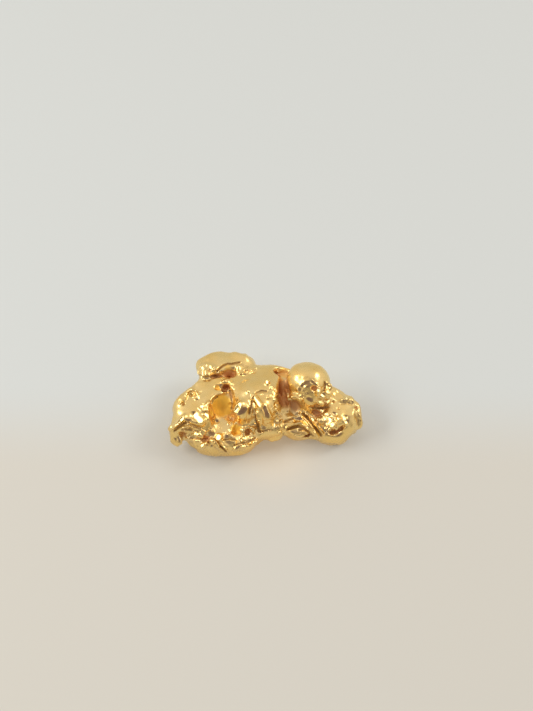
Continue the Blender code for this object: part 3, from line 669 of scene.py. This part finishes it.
# Where the metal is broken into facets. name: (reach, span, facing, jitter, strength, spot)
FACETED = dict(
    crinkled_lump=(0.56, 0.19, TO_LEFT, 0.11, 0.9, (329, 421)),
    shoulder_crinkle=(0.24, 0.15, TO_LEFT, 0.14, 0.8, (347, 400.5)),
    chin_rim=(0.36, 0.17, TO_LEFT, 0.22, 0.7, (243, 444)),
    chin_rim_right=(0.34, 0.17, TO_LEFT, 0.22, 0.7, (252, 440.5)),
    front_wall=(0.42, 0.2, WALL_FACING, 0.22, 0.8, (190, 432)),
    front_wall_right=(0.42, 0.2, WALL_FACING, 0.22, 0.8, (201, 434.5)),
    grains=(0.26, 0.15, TO_LEFT, 0.18, 0.7, (279, 416)),
    grains_low=(0.3, 0.15, TO_LEFT, 0.18, 0.7, (281, 427)),
    hollow_left_rim=(0.24, 0.13, TO_LEFT, 0.12, 0.8, (202, 407)),
    little_bowl_rim=(0.3, 0.16, TO_LEFT, 0.2, 0.7, (247, 428)),
    small_hollow_rim=(0.3, 0.16, TO_LEFT, 0.22, 0.6, (230, 429)),
    slab_pits=(0.26, 0.14, TO_LEFT, 0.18, 0.7, (247, 370)),
    middle_top=(0.26, 0.15, TO_LEFT, 0.22, 0.6, (272, 390)),
    twin_hole_lip=(0.2, 0.13, TO_LEFT, 0.14, 0.7, (231, 384)),
    keel_top=(0.3, 0.18, TO_FRONT, 0.25, 0.6, (299, 413)),
    shelf=(0.3, 0.17, TO_FRONT, 0.25, 0.7, (304, 394)),
)
# Small facets that mirror whoever looks. They and the next two lots are cut last.
# place: ((radius, *spots), ...)
SHADES = dict(
    plateau_front=((0.12, (186, 420.5), (191, 419.5)), (0.16, (209.5, 432.5), (215, 434.8))),
    tip=((0.12, (175.4, 439)), (0.06, (172, 430.5), (175, 428.8))),
    front_wall=((0.06, (193.5, 430.5), (200, 431)),),
    chin_nook=((0.12, (211.7, 445)),),
    terrace_corner=((0.07, (206, 430)),),
    hollow=((0.13, (230.5, 404.5)),),
    terrace_pit=((0.1, (216.5, 421), (218, 422)),),
    under_the_wall=((0.08, (196, 440.5)),),
    chin_rim=((0.07, (240, 441)),),
    lobe=((0.05, (250.5, 407)), (0.13, (238.5, 413.8), (242.5, 411)), (0.12, (242.5, 411), (246.5, 408.5))),
    middle=(
        (0.09, (254, 410), (254.5, 417)), (0.09, (254.5, 417), (256.5, 424)),
        (0.16, (264, 408), (267.5, 414.5)), (0.14, (262.5, 426), (265, 430)),
        (0.13, (265, 430), (270, 429)), (0.08, (272, 387), (274.5, 391)),
    ),
    arch=(
        (0.15, (298.5, 390), (301.5, 385.5)), (0.15, (301.5, 385.5), (305.5, 382.3)),
        (0.14, (305.5, 382.3), (311.5, 382)), (0.09, (311.5, 381.8), (317.5, 385)),
    ),
    dome=((0.15, (308.5, 398.5), (312, 401)),),
    ball_folds=((0.06, (324.5, 384.5), (325, 389)), (0.06, (322, 390)), (0.06, (323.5, 400))),
    crinkled_lump=((0.08, (325.5, 425.5)), (0.08, (335.5, 415)), (0.07, (323, 417.5))),
    crescent=((0.1, (332, 431.5), (338, 430)), (0.1, (338, 430), (343.5, 426.3))),
    keel=((0.18, (296, 419.5), (300, 418.5)), (0.08, (289, 421.5), (293, 420))),
    above_the_lump=((0.09, (313, 412), (318, 413.5)),),
    right_end=((0.06, (341.5, 421.5)), (0.06, (348, 403)), (0.08, (356.3, 408))),
    keel_ledge=((0.07, (298, 428), (303, 429.5)),),
)
# Small facets that mirror the left lamp.
GLINTS = dict(
    brow=(
        (0.06, (200.5, 368.3), (204.5, 366)), (0.075, (204.5, 366), (209, 365.3)),
        (0.075, (209, 365.3), (213, 367)), (0.055, (213, 367), (216.5, 369.7)),
    ),
    plateau=(
        (0.17, (195, 416), (202, 421)), (0.12, (205.5, 414), (209, 417.5)), (0.12, (198.5, 408.8)),
        (0.13, (202.5, 406.6)), (0.11, (206.5, 405)), (0.06, (200, 411)),
    ),
    front_ridge=((0.11, (183, 418.5), (179, 422.5)), (0.1, (179, 422.5), (175, 427.5)), (0.13, (171, 427))),
    terrace_edge=((0.07, (209.5, 428.5), (213.5, 431)),),
    front_wall=((0.07, (184, 431)), (0.07, (191.5, 432))),
    hollow_foot=((0.05, (222, 418)),),
    crater_and_left_pit=(
        (0.06, (190, 390.3), (193, 390.2)), (0.06, (196, 392.5), (196.8, 395)),
        (0.05, (184, 400), (182, 402)),
    ),
    block=((0.28, (219.3, 437)),),
    chin_beads=((0.13, (202.5, 445.5)), (0.14, (207.3, 444.3))),
    chin_line=((0.06, (222, 448.5)), (0.06, (217, 443.5))),
    chin_rim=((0.07, (243, 444.5)), (0.08, (253, 441)), (0.06, (247, 446)), (0.06, (238, 443.5))),
    under_the_wall=((0.06, (195, 442)),),
    small_hollows_rims=(
        (0.09, (242, 429.3)), (0.09, (253, 428.6)), (0.06, (229, 432), (231.5, 428)), (0.06, (228, 424)),
        (0.06, (241, 436)), (0.06, (248, 427)),
    ),
    twin_hole_lip=((0.07, (226, 381.5)), (0.07, (231, 383))),
    back_slab=(
        (0.08, (237, 368)), (0.06, (239.5, 365.5)), (0.07, (242.5, 372.5)), (0.06, (251, 368.5)),
        (0.06, (254, 372)), (0.05, (222.3, 372.5)),
    ),
    lobe=((0.1, (241, 404), (237.8, 408)), (0.1, (237.8, 408), (234.5, 412.5))),
    middle=(
        (0.08, (249.8, 402.5), (249.8, 406.5)), (0.075, (254.8, 397.5), (256.5, 401)),
        (0.14, (258, 402.5), (260.3, 405.3)), (0.12, (272.3, 407.5)), (0.09, (257.5, 411.7)),
        (0.09, (259, 420.5)), (0.16, (267.5, 382)), (0.08, (248, 391.5)),
    ),
    grains=(
        (0.07, (268.6, 397)), (0.11, (275, 399)), (0.13, (278, 413)), (0.11, (281.2, 420.5)),
        (0.11, (279.8, 431.7)), (0.07, (277, 425.5)), (0.06, (283, 427)),
    ),
    dome=((0.1, (304, 397.5)), (0.07, (299.5, 395.5))),
    crinkled_lump=(
        (0.13, (320, 420)), (0.11, (326.5, 414)), (0.09, (331, 418.5)), (0.14, (331.5, 424), (334.5, 423)),
        (0.12, (338, 418.5)), (0.1, (335.5, 427.5)), (0.11, (328.5, 429.5)), (0.07, (323.5, 424.5)),
    ),
    shoulder_crinkle=(
        (0.07, (343, 399.8)), (0.07, (348.5, 400)), (0.06, (352.5, 403)), (0.06, (341, 402.5)),
        (0.06, (355, 405.5)),
    ),
    ribs_and_keel=(
        (0.05, (301.5, 416), (304.5, 419.5)), (0.05, (313, 430), (316, 434)), (0.06, (286.5, 427.5)),
    ),
)
# Small facets that mirror the right lamp.
GLINTS_RIGHT = dict(
    ball_folds=(
        (0.13, (317.5, 390.5)), (0.11, (327.2, 386.5), (327, 392.5)), (0.13, (320.4, 402)),
        (0.12, (326.7, 401.5)), (0.11, (322.5, 396)), (0.08, (315.5, 396.5)), (0.07, (331, 398)),
        (0.08, (323, 388)), (0.08, (318.5, 397)), (0.07, (325, 405.5)),
    ),
    right_end=((0.12, (346.2, 422), (346.5, 424)), (0.11, (345.3, 417.5))),
)
# Where the metal is crumpled. Here and below, name: (reach, share, *spots)
CRUMPLED = dict(
    front_wall=(0.45, 0.45, (190, 433), (200, 436)),
    chin_rim=(0.4, 0.6, (243, 445)),
    chin_rim_left=(0.35, 0.5, (235, 444)),
    chin_rim_right=(0.35, 0.6, (251, 440)),
    grains=(0.35, 0.35, (281, 425)),
    middle_top=(0.28, 0.35, (274, 390)),
    keel_ledge=(0.35, 0.4, (305, 429)),
    crinkled_lump=(0.5, 0.3, (330, 422)),
    ball_folds=(0.35, 0.35, (321, 398)),
    shoulder_crinkle=(0.3, 0.6, (347, 401)),
    right_end=(0.3, 0.35, (355, 412)),
    slab_pits=(0.26, 0.4, (247, 370)),
    crater=(0.25, 0.15, (191, 394)),
    twin_holes=(0.25, 0.4, (231, 387)),
    keel_top=(0.35, 0.5, (297, 413)),
    shelf=(0.3, 0.4, (301, 396)),
    dome=(0.3, 0.35, (309, 398)),
    left_side=(0.4, 0.12, (177, 408)),
    plateau_shoulder=(0.35, 0.1, (180, 396)),
)
# Where it is smooth.
CALM = dict(
    hollow=(0.85, 1, (221, 405.5)),
    canyon=(0.65, 1, (284, 386), (284, 402)),
    cave=(0.45, 1, (295, 406)),
    slab_hole=(0.3, 1, (229, 374)),
    terrace=(0.55, 0.9, (220, 427)),
    above_the_lump=(0.25, 1, (317, 413)),
    small_hollow=(0.3, 0.7, (237, 429)),
    right_shoulder=(0.55, 0.9, (336, 394)),
    right_end=(0.4, 0.9, (344, 408)),
    tip=(0.4, 0.8, (178, 441)),
    tip_corner=(0.26, 1, (173.5, 445)),
    chin=(0.4, 1, (208, 452), (217, 454), (228, 453)),
    chin_right=(0.36, 1, (238, 452)),
    ribs=(0.28, 0.8, (306, 421)),
    ribs_low=(0.3, 0.8, (314, 431)),
    canyon_head=(0.3, 0.6, (285, 374)),
)
# Where it is drawn out smooth.
STRETCHED = dict(
    hollow=(0.88, 1, (220.5, 406)),
    hollow_foot=(0.4, 0.6, (212, 413)),
    slab_top=(0.5, 0.9, (225, 356)),
    right_shoulder=(0.65, 0.9, (336, 393)),
    right_end=(0.42, 0.8, (345, 408)),
    terrace=(0.55, 0.8, (221, 428)),
    small_hollow=(0.42, 1, (237, 429)),
)
# Painted reflection: hollows of clean gold, coloured the deeper amber that gold shows where it mirrors
# itself.
MIRRORED_AMBER = dict(
    hollow=(0.64, 2.4, (221, 405.3)),
    small_hollow=(0.38, 1.6, (236.5, 430)),
    canyon_head=(0.4, 0.5, (284, 373)),
    hollow_foot=(0.26, 1.2, (228, 411)),
    hollow_foot_left=(0.26, 1.2, (211.5, 412.5)),
    slab_hole=(0.22, 0.6, (228, 367)),
    twin_hole_left=(0.15, 0.9, (217.5, 388)),
    hollow_foot_right=(0.24, 0.7, (232, 415)),
)
# Where it is stained.
STAINED = dict(
    canyon_head=(0.3, 0.2, (284, 373)),
    canyon=(0.5, 0.42, (284, 386)),
    canyon_low=(0.5, 0.7, (284, 402)),
    cave=(0.36, 0.8, (295, 406)),
    slab_hole=(0.3, 0.9, (229, 374)),
    slab_pits=(0.17, 0.6, (248, 371)),
    brow_pit=(0.13, 0.8, (209.5, 370.3)),
    slab_crevice=(0.18, 0.7, (213, 376.5)),
    slab_crevice_right=(0.18, 0.8, (219, 376)),
    twin_hole_right=(0.19, 1.1, (226, 387)),
    hollow_right_side=(0.22, 0.5, (231, 395)),
    chin_cavity=(0.24, 0.9, (207, 440)),
    little_bowl=(0.2, 0.5, (248, 432)),
    above_the_lump=(0.26, 0.6, (317, 413)),
    keel_ledge=(0.3, 0.4, (305, 429)),
    ball_pit=(0.15, 0.3, (314, 388)),
    right_pit=(0.14, 0.8, (356, 408)),
    shoulder_pit=(0.1, 0.7, (333.6, 401.7)),
    end_pit=(0.1, 0.7, (338.4, 408.6)),
    crevice=(0.14, 0.4, (250.5, 407)),
    left_pit=(0.1, 0.6, (183, 403)),
    small_hollow_head=(0.14, 0.7, (239, 424)),
)

# ---- the work
FORM_VOXEL, FORM_SOFTENING = 0.05, 9  # while the forms are worked
FINE_VOXEL, FINE_SOFTENING = 0.033, 3  # while the small features are worked
MOST_TRIANGLES = 194000  # kept at the end, closest together where the surface bends most
CALM_ROUNDS, STRETCHED_ROUNDS, SHELTER_ROUNDS = 25, 120, 3
GLINT_STRENGTH, SHADE_STRENGTH = 1, 0.9
DUST_SHELTER = (0.15, 0.35)  # where dust starts, and over how much more shelter it thickens


def every(groups):
    """The entries of all the places, in order."""
    return [entry for group in groups.values() for entry in group]


def work(clay):
    """Works the whole nugget. Gives the shares that colour it, one for each of its points."""
    clay.remesh(FORM_VOXEL, FORM_SOFTENING)
    for radius, height, *spots in FORMS.values():
        clay.press(spots, radius, height)
        clay.settle()
    for radius, facing, strength, *spots in FLATS.values():
        for part in zip(spots, spots[1:]) if len(spots) > 1 else (spots,):
            clay.flatten(part, radius, facing, strength)
    clay.settle()
    clay.calm_down(CALM, CALM_ROUNDS)
    clay.calm_down(STRETCHED, STRETCHED_ROUNDS)
    scatter(clay)
    sheltered, known = clay.smooth(clay.shelter(), SHELTER_ROUNDS), clay.points
    clay.remesh(FINE_VOXEL, FINE_SOFTENING)
    sheltered = clay.carried(known, sheltered)
    roughen(clay, crumple_shares(clay, sheltered))
    for radius, height, *spots in LINES.values():
        clay.press(spots, radius, height)
    clay.settle()
    for radius, height, spot in SPOTS.values():
        clay.press((spot,), radius, height)
    for radius, spot in every(GRAINS):
        clay.press((spot,), radius, radius * GRAIN_RISE)
    clay.settle()
    for radius, spot in LEVELS.values():
        clay.flatten((spot,), radius, UP)
    clay.settle()
    for zone in FACETED.values():
        clay.facet(*zone)
    clay.settle()
    for facets, facing, strength in (
        (SHADES, TO_LOOKER, SHADE_STRENGTH),
        (GLINTS, TO_LEFT, GLINT_STRENGTH),
        (GLINTS_RIGHT, TO_RIGHT, GLINT_STRENGTH),
    ):
        for radius, *spots in every(facets):
            clay.flatten(spots, radius, facing, strength, FACET_DEEPEST)
        clay.settle()
    # Painted reflection: the deeper amber of gold that mirrors itself in its hollows.
    mirrored_amber = np.clip(clay.weigh(MIRRORED_AMBER), 0, 1)
    dust = ramp(sheltered, *DUST_SHELTER) * (1 - mirrored_amber)
    stain = stain_shares(clay, sheltered, mirrored_amber)
    # Painted shade darkens the bottoms of furrows.
    shares = {"stain": stain, "dust": dust, "mirrored_amber": mirrored_amber, "furrow_shade": furrow_shade_shares(clay)}
    known = clay.points
    clay.thin(MOST_TRIANGLES)
    clay.points[:, 2] = np.maximum(clay.points[:, 2], 0)
    clay.settle()
    return {name: clay.carried(known, values) for name, values in shares.items()}


# What is scattered in turn, before a flat. name: (width, height, drawn out into a line), sizes in radii
SCATTER_SHAPES = dict(
    pit=(1.0, -0.5, False),
    knob=(1.2, 0.45, False),
    furrow=(0.7, -0.4, True),
    ridge=(0.8, 0.4, True),
)
SCATTER_SEED, SCATTERED = 5, 130
SCATTER_RADII, SCATTER_LENGTHS = (0.10, 0.26), (2, 5)  # in millimetres, and in radii
SCATTER_FACING, SCATTER_LOWEST = -0.6, 0.15  # on metal that faces away this far, and no lower
STANDING_FACING = -0.75  # nothing stands out where it would show beyond the outline
BACK_FLAT_WIDTH, BACK_FLAT_TILT, BACK_FLAT_STRENGTH = 1.4, 0.35, 0.9


def scatter(clay):
    """Pits, knobs, furrows, ridges and flats where the camera doesn't see."""
    chance = np.random.default_rng(SCATTER_SEED)
    seen = clay.facing_eye()
    unseen = np.flatnonzero((seen < SCATTER_FACING) & (clay.points[:, 2] > SCATTER_LOWEST))
    starts = chance.choice(unseen, SCATTERED, replace=False)
    shapes = [*SCATTER_SHAPES.values(), None]
    starts = list(zip(clay.points[starts], clay.normals[starts], seen[starts]))
    for count, (start, facing, away) in enumerate(starts):
        radius = chance.uniform(*SCATTER_RADII)
        side = np.cross(facing, chance.normal(size=3))
        side /= np.linalg.norm(side)
        start, end = tuple(start), tuple(start + side * chance.uniform(*SCATTER_LENGTHS) * radius)
        shape = shapes[count % len(shapes)]
        if shape:
            width, height, drawn_out = shape
            if away >= STANDING_FACING:
                height = -abs(height)
            clay.press((start, end) if drawn_out else (start,), radius * width, height * radius)
        else:
            facing = facing + BACK_FLAT_TILT * side
            clay.flatten((start,), radius * BACK_FLAT_WIDTH, facing, BACK_FLAT_STRENGTH)
    clay.settle()


SEED = Vector((3.1, 7.7, 1.3))
CRUMPLE_SHELTER, CRUMPLE_SHELTERED = (0.35, 0.3), 0.8
UNSEEN_START, UNSEEN_SLOPE, UNSEEN_CRUMPLED = 0.35, 3, 0.6  # by how far the metal faces away
PATCH_SPAN, PATCH_SLOPE, PATCH_RISE = 0.9, 4, 0.2


def crumple_shares(clay, sheltered):
    """How crumpled each point is, from 0 to 1: as listed, and more wherever it is sheltered or underneath."""
    share = ramp(sheltered, *CRUMPLE_SHELTER) * CRUMPLE_SHELTERED
    unseen = np.clip((-clay.facing_eye() - UNSEEN_START) * UNSEEN_SLOPE, 0, 1)
    patches = np.array([noise.noise((Vector(point) + SEED) / PATCH_SPAN) for point in clay.points.tolist()])
    patches = np.clip(patches * PATCH_SLOPE + PATCH_RISE, 0, 1)
    share = np.maximum(share, unseen * patches * UNSEEN_CRUMPLED)
    return np.maximum(share, clay.weigh(CRUMPLED)) * (1 - clay.weigh(CALM))


# (span, height) of the unevenness of worn metal, of crumpled metal's folds, and of its faces
WORN_SPANS = ((0.75, 0.030), (0.33, 0.012), (0.15, 0.0045))
FOLD_SPANS = ((0.42, 0.030), (0.21, 0.010))
CHUNK_SPANS = ((0.34, 0.11), (0.17, 0.03))
FOLD_SHARPNESS = 3
DENT_SPAN, DENT_DEPTH, DENT_SHARPNESS, DENT_PATCH = 0.20, 0.016, 2.5, 0.9
CHUNK_TILT, CHUNK_BULGE, CHUNK_STEP = 1.5, 0.6, 0.4
CHUNK_MIDDLE, CHUNK_SEED = 0.5, 5.3
CHUNK_BEND_SPAN, CHUNK_BEND = 0.25, 0.06


def roughen(clay, share):
    """Gentle waves and dents all over, and sharp little ridges and faces where the metal is crumpled."""
    heights = np.zeros(len(clay.points))
    for index, point in enumerate(clay.points.tolist()):
        point = Vector(point) + SEED
        rise = sum(height * noise.noise(point / span) for span, height in WORN_SPANS)
        apart = noise.voronoi(point / DENT_SPAN)[0][0]
        rise -= DENT_DEPTH * max(0, 1 - DENT_SHARPNESS * apart) * max(0, noise.cell(point / DENT_PATCH))
        if share[index] > 0:
            bent = point + noise.noise_vector(point / CHUNK_BEND_SPAN) * CHUNK_BEND
            chunks = sum(chunk(bent, span) * height for span, height in CHUNK_SPANS)
            folds = sum(height * fold(point, span) for span, height in FOLD_SPANS)
            rise += share[index] * (folds + chunks)
        heights[index] = rise
    clay.points += clay.normals * clay.smooth(heights, 1)[:, None]
    clay.settle()


def fold(point, span):
    """The height of a fold: a crest wherever the noise passes through 0."""
    return 1 - FOLD_SHARPNESS * abs(noise.noise(point / span))


def chunk(point, span):
    """The height of a crystal's face: each is tilted its own way, and stands over its neighbours."""
    point = point / span
    apart, seeds = noise.voronoi(point)
    tilt = noise.noise_vector(seeds[0] * CHUNK_SEED)
    bulge = CHUNK_BULGE * (CHUNK_MIDDLE - apart[0])
    return (point - seeds[0]).dot(tilt) * CHUNK_TILT + bulge + tilt.x * CHUNK_STEP


# Where stain starts, and over how much more it thickens, by shelter and by depth in a fold.
STAIN_SHELTER, STAIN_SUNK = (0.50, 0.30), (0.010, 0.03)
STAIN_ROUNDS, SUNK_STAINED, STAIN_LEAST = 8, 0.25, 0.5
# Painted shade: the bottoms of furrows are coloured dark.
FURROW_SHADE_WIDTH = 0.75  # of the furrow's radius
FURROW_SHADE_DEPTH = 0.10  # of a furrow that is fully dark at its bottom


def stain_shares(clay, sheltered, mirrored_amber):
    """How stained each point is, from 0 to 1: deep in the hollows, in the small folds, and as listed."""
    sunk = np.einsum("ij,ij->i", clay.smooth(clay.points, STAIN_ROUNDS) - clay.points, clay.normals)
    share = ramp(sheltered, *STAIN_SHELTER) + ramp(sunk, *STAIN_SUNK) * SUNK_STAINED
    share = share * (1 - mirrored_amber) + clay.weigh(STAINED) * (STAIN_LEAST + sheltered)
    return clay.smooth(np.clip(share, 0, 1), 1)


def furrow_shade_shares(clay):
    """How much painted shade darkens each point, from 0 to 1, because it lies at the bottom of a furrow."""
    share = np.zeros(len(clay.points))
    for radius, height, *spots in LINES.values():
        if height < 0:
            reach = radius * FURROW_SHADE_WIDTH
            near, away = clay.near(clay.draped(spots), reach)
            share[near] = np.maximum(share[near], min(1, -height / FURROW_SHADE_DEPTH) * eased(away, reach))
    return share


# ---- gold
GOLD_WARM, GOLD_PALE = (0.94, 0.64, 0.215), (0.94, 0.70, 0.29)
# The first of these is a painted reflection, the deep amber of gold that mirrors itself in its hollows.
GOLD_MIRRORED_AMBER, GOLD_DUSTY = (0.99, 0.60, 0.08), (0.91, 0.68, 0.31)
# The second of these is painted shade, dark at the bottoms of furrows.
STAIN_COLOUR, FURROW_SHADE_COLOUR = (0.74, 0.41, 0.16), (0.34, 0.17, 0.05)
STAIN_DULLING, MIRRORED_AMBER_DULLING, FURROW_SHADE_DULLING = 0.45, 0.50, 0.3  # how much less metallic each is
POLISHED, DULLED, DULL_ROUGHNESS = 0.22, 0.34, 0.6  # how rough clean metal is, and dull metal more
# (patch size in millimetres, detail)
STAIN_PATCHES, TINT_PATCHES, POLISH_PATCHES = (0.22, 4), (0.9, 3), (0.30, 5)
COARSE_GRAIN, FINE_GRAIN, FINE_SHARE = (0.05, 3), (0.012, 2), 0.3
# The parts of a noise's range that are used, and how much one varies the stain.
CLOUDY, POLISH_RANGE, STAIN_VARIES = (0.35, 0.65), (0.3, 0.7), 0.25
GRAIN_STRENGTH, GRAIN_HEIGHT = 0.4, 0.006 * MM


def gold():
    material = bpy.data.materials.new("gold")
    nodes = Nodes(material)
    shader = nodes.tree.nodes["Principled BSDF"]
    place = nodes.add("TexCoord", {}, "Object")
    stain, mirrored_amber, furrow_shade, dust = (nodes.share(name) for name in ("stain", "mirrored_amber", "furrow_shade", "dust"))
    patchy = nodes.scaled(nodes.cloudy(place, *STAIN_PATCHES), *CLOUDY, -STAIN_VARIES, STAIN_VARIES)
    stained = nodes.maths("ADD", stain, nodes.maths("MULTIPLY", patchy, stain))
    colour = nodes.blended(nodes.scaled(nodes.cloudy(place, *TINT_PATCHES), *CLOUDY), GOLD_WARM, GOLD_PALE)
    # Painted reflection gives some hollows their deeper amber, and painted shade darkens the bottoms of
    # furrows.
    for share, shade in (
        (dust, GOLD_DUSTY),
        (mirrored_amber, GOLD_MIRRORED_AMBER),
        (stained, STAIN_COLOUR),
        (furrow_shade, FURROW_SHADE_COLOUR),
    ):
        colour = nodes.blended(share, colour, shade)
    nodes.feed(shader.inputs["Base Color"], colour)
    dull = 0
    for share, dulling in ((stained, STAIN_DULLING), (mirrored_amber, MIRRORED_AMBER_DULLING), (furrow_shade, FURROW_SHADE_DULLING)):
        dull = nodes.maths("ADD", dull, nodes.maths("MULTIPLY", share, dulling))
    nodes.feed(shader.inputs["Metallic"], nodes.scaled(dull, 0, 1, 1, 0))
    polish = nodes.scaled(nodes.cloudy(place, *POLISH_PATCHES), *POLISH_RANGE, POLISHED, DULLED)
    rough = nodes.maths("ADD", polish, nodes.maths("MULTIPLY", dull, DULL_ROUGHNESS))
    nodes.feed(shader.inputs["Roughness"], rough)
    coarse = nodes.maths("MULTIPLY", nodes.cloudy(place, *COARSE_GRAIN), 1 - FINE_SHARE)
    fine = nodes.maths("MULTIPLY", nodes.cloudy(place, *FINE_GRAIN), FINE_SHARE)
    grain = {"Height": nodes.maths("ADD", coarse, fine), "Strength": GRAIN_STRENGTH, "Distance": GRAIN_HEIGHT}
    nodes.feed(shader.inputs["Normal"], nodes.add("Bump", grain, "Normal"))
    return material


# ---- the nugget
def fine_mesh():
    """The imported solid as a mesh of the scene's own, in millimetres."""
    data = frame["nodes"]["nugget"].data.copy()
    mesh = bmesh.new()
    mesh.from_mesh(data)
    bmesh.ops.remove_doubles(mesh, verts=mesh.verts[:], dist=SAME_POINT)
    mesh.to_mesh(data)
    mesh.free()
    data.transform(Matrix.Scale(1 / MM, 4))
    return add_object("gold_nugget", data)


def nugget(eye):
    piece = fine_mesh()
    for name, shares in work(Clay(piece, eye)).items():
        piece.data.attributes.new(name, "FLOAT", "POINT").data.foreach_set("value", shares)
    piece.data.transform(Matrix.Scale(MM, 4))
    piece.data.shade_smooth()
    piece.data.materials.clear()
    piece.data.materials.append(gold())
    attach(piece, "root")
    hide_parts("nugget")


eye = camera()
world()
for name, (direction, size, power) in LAMPS.items():
    lamp(name, direction, size, power)
floor()
nugget(eye)
bpy.context.scene.view_settings.view_transform = "Standard"
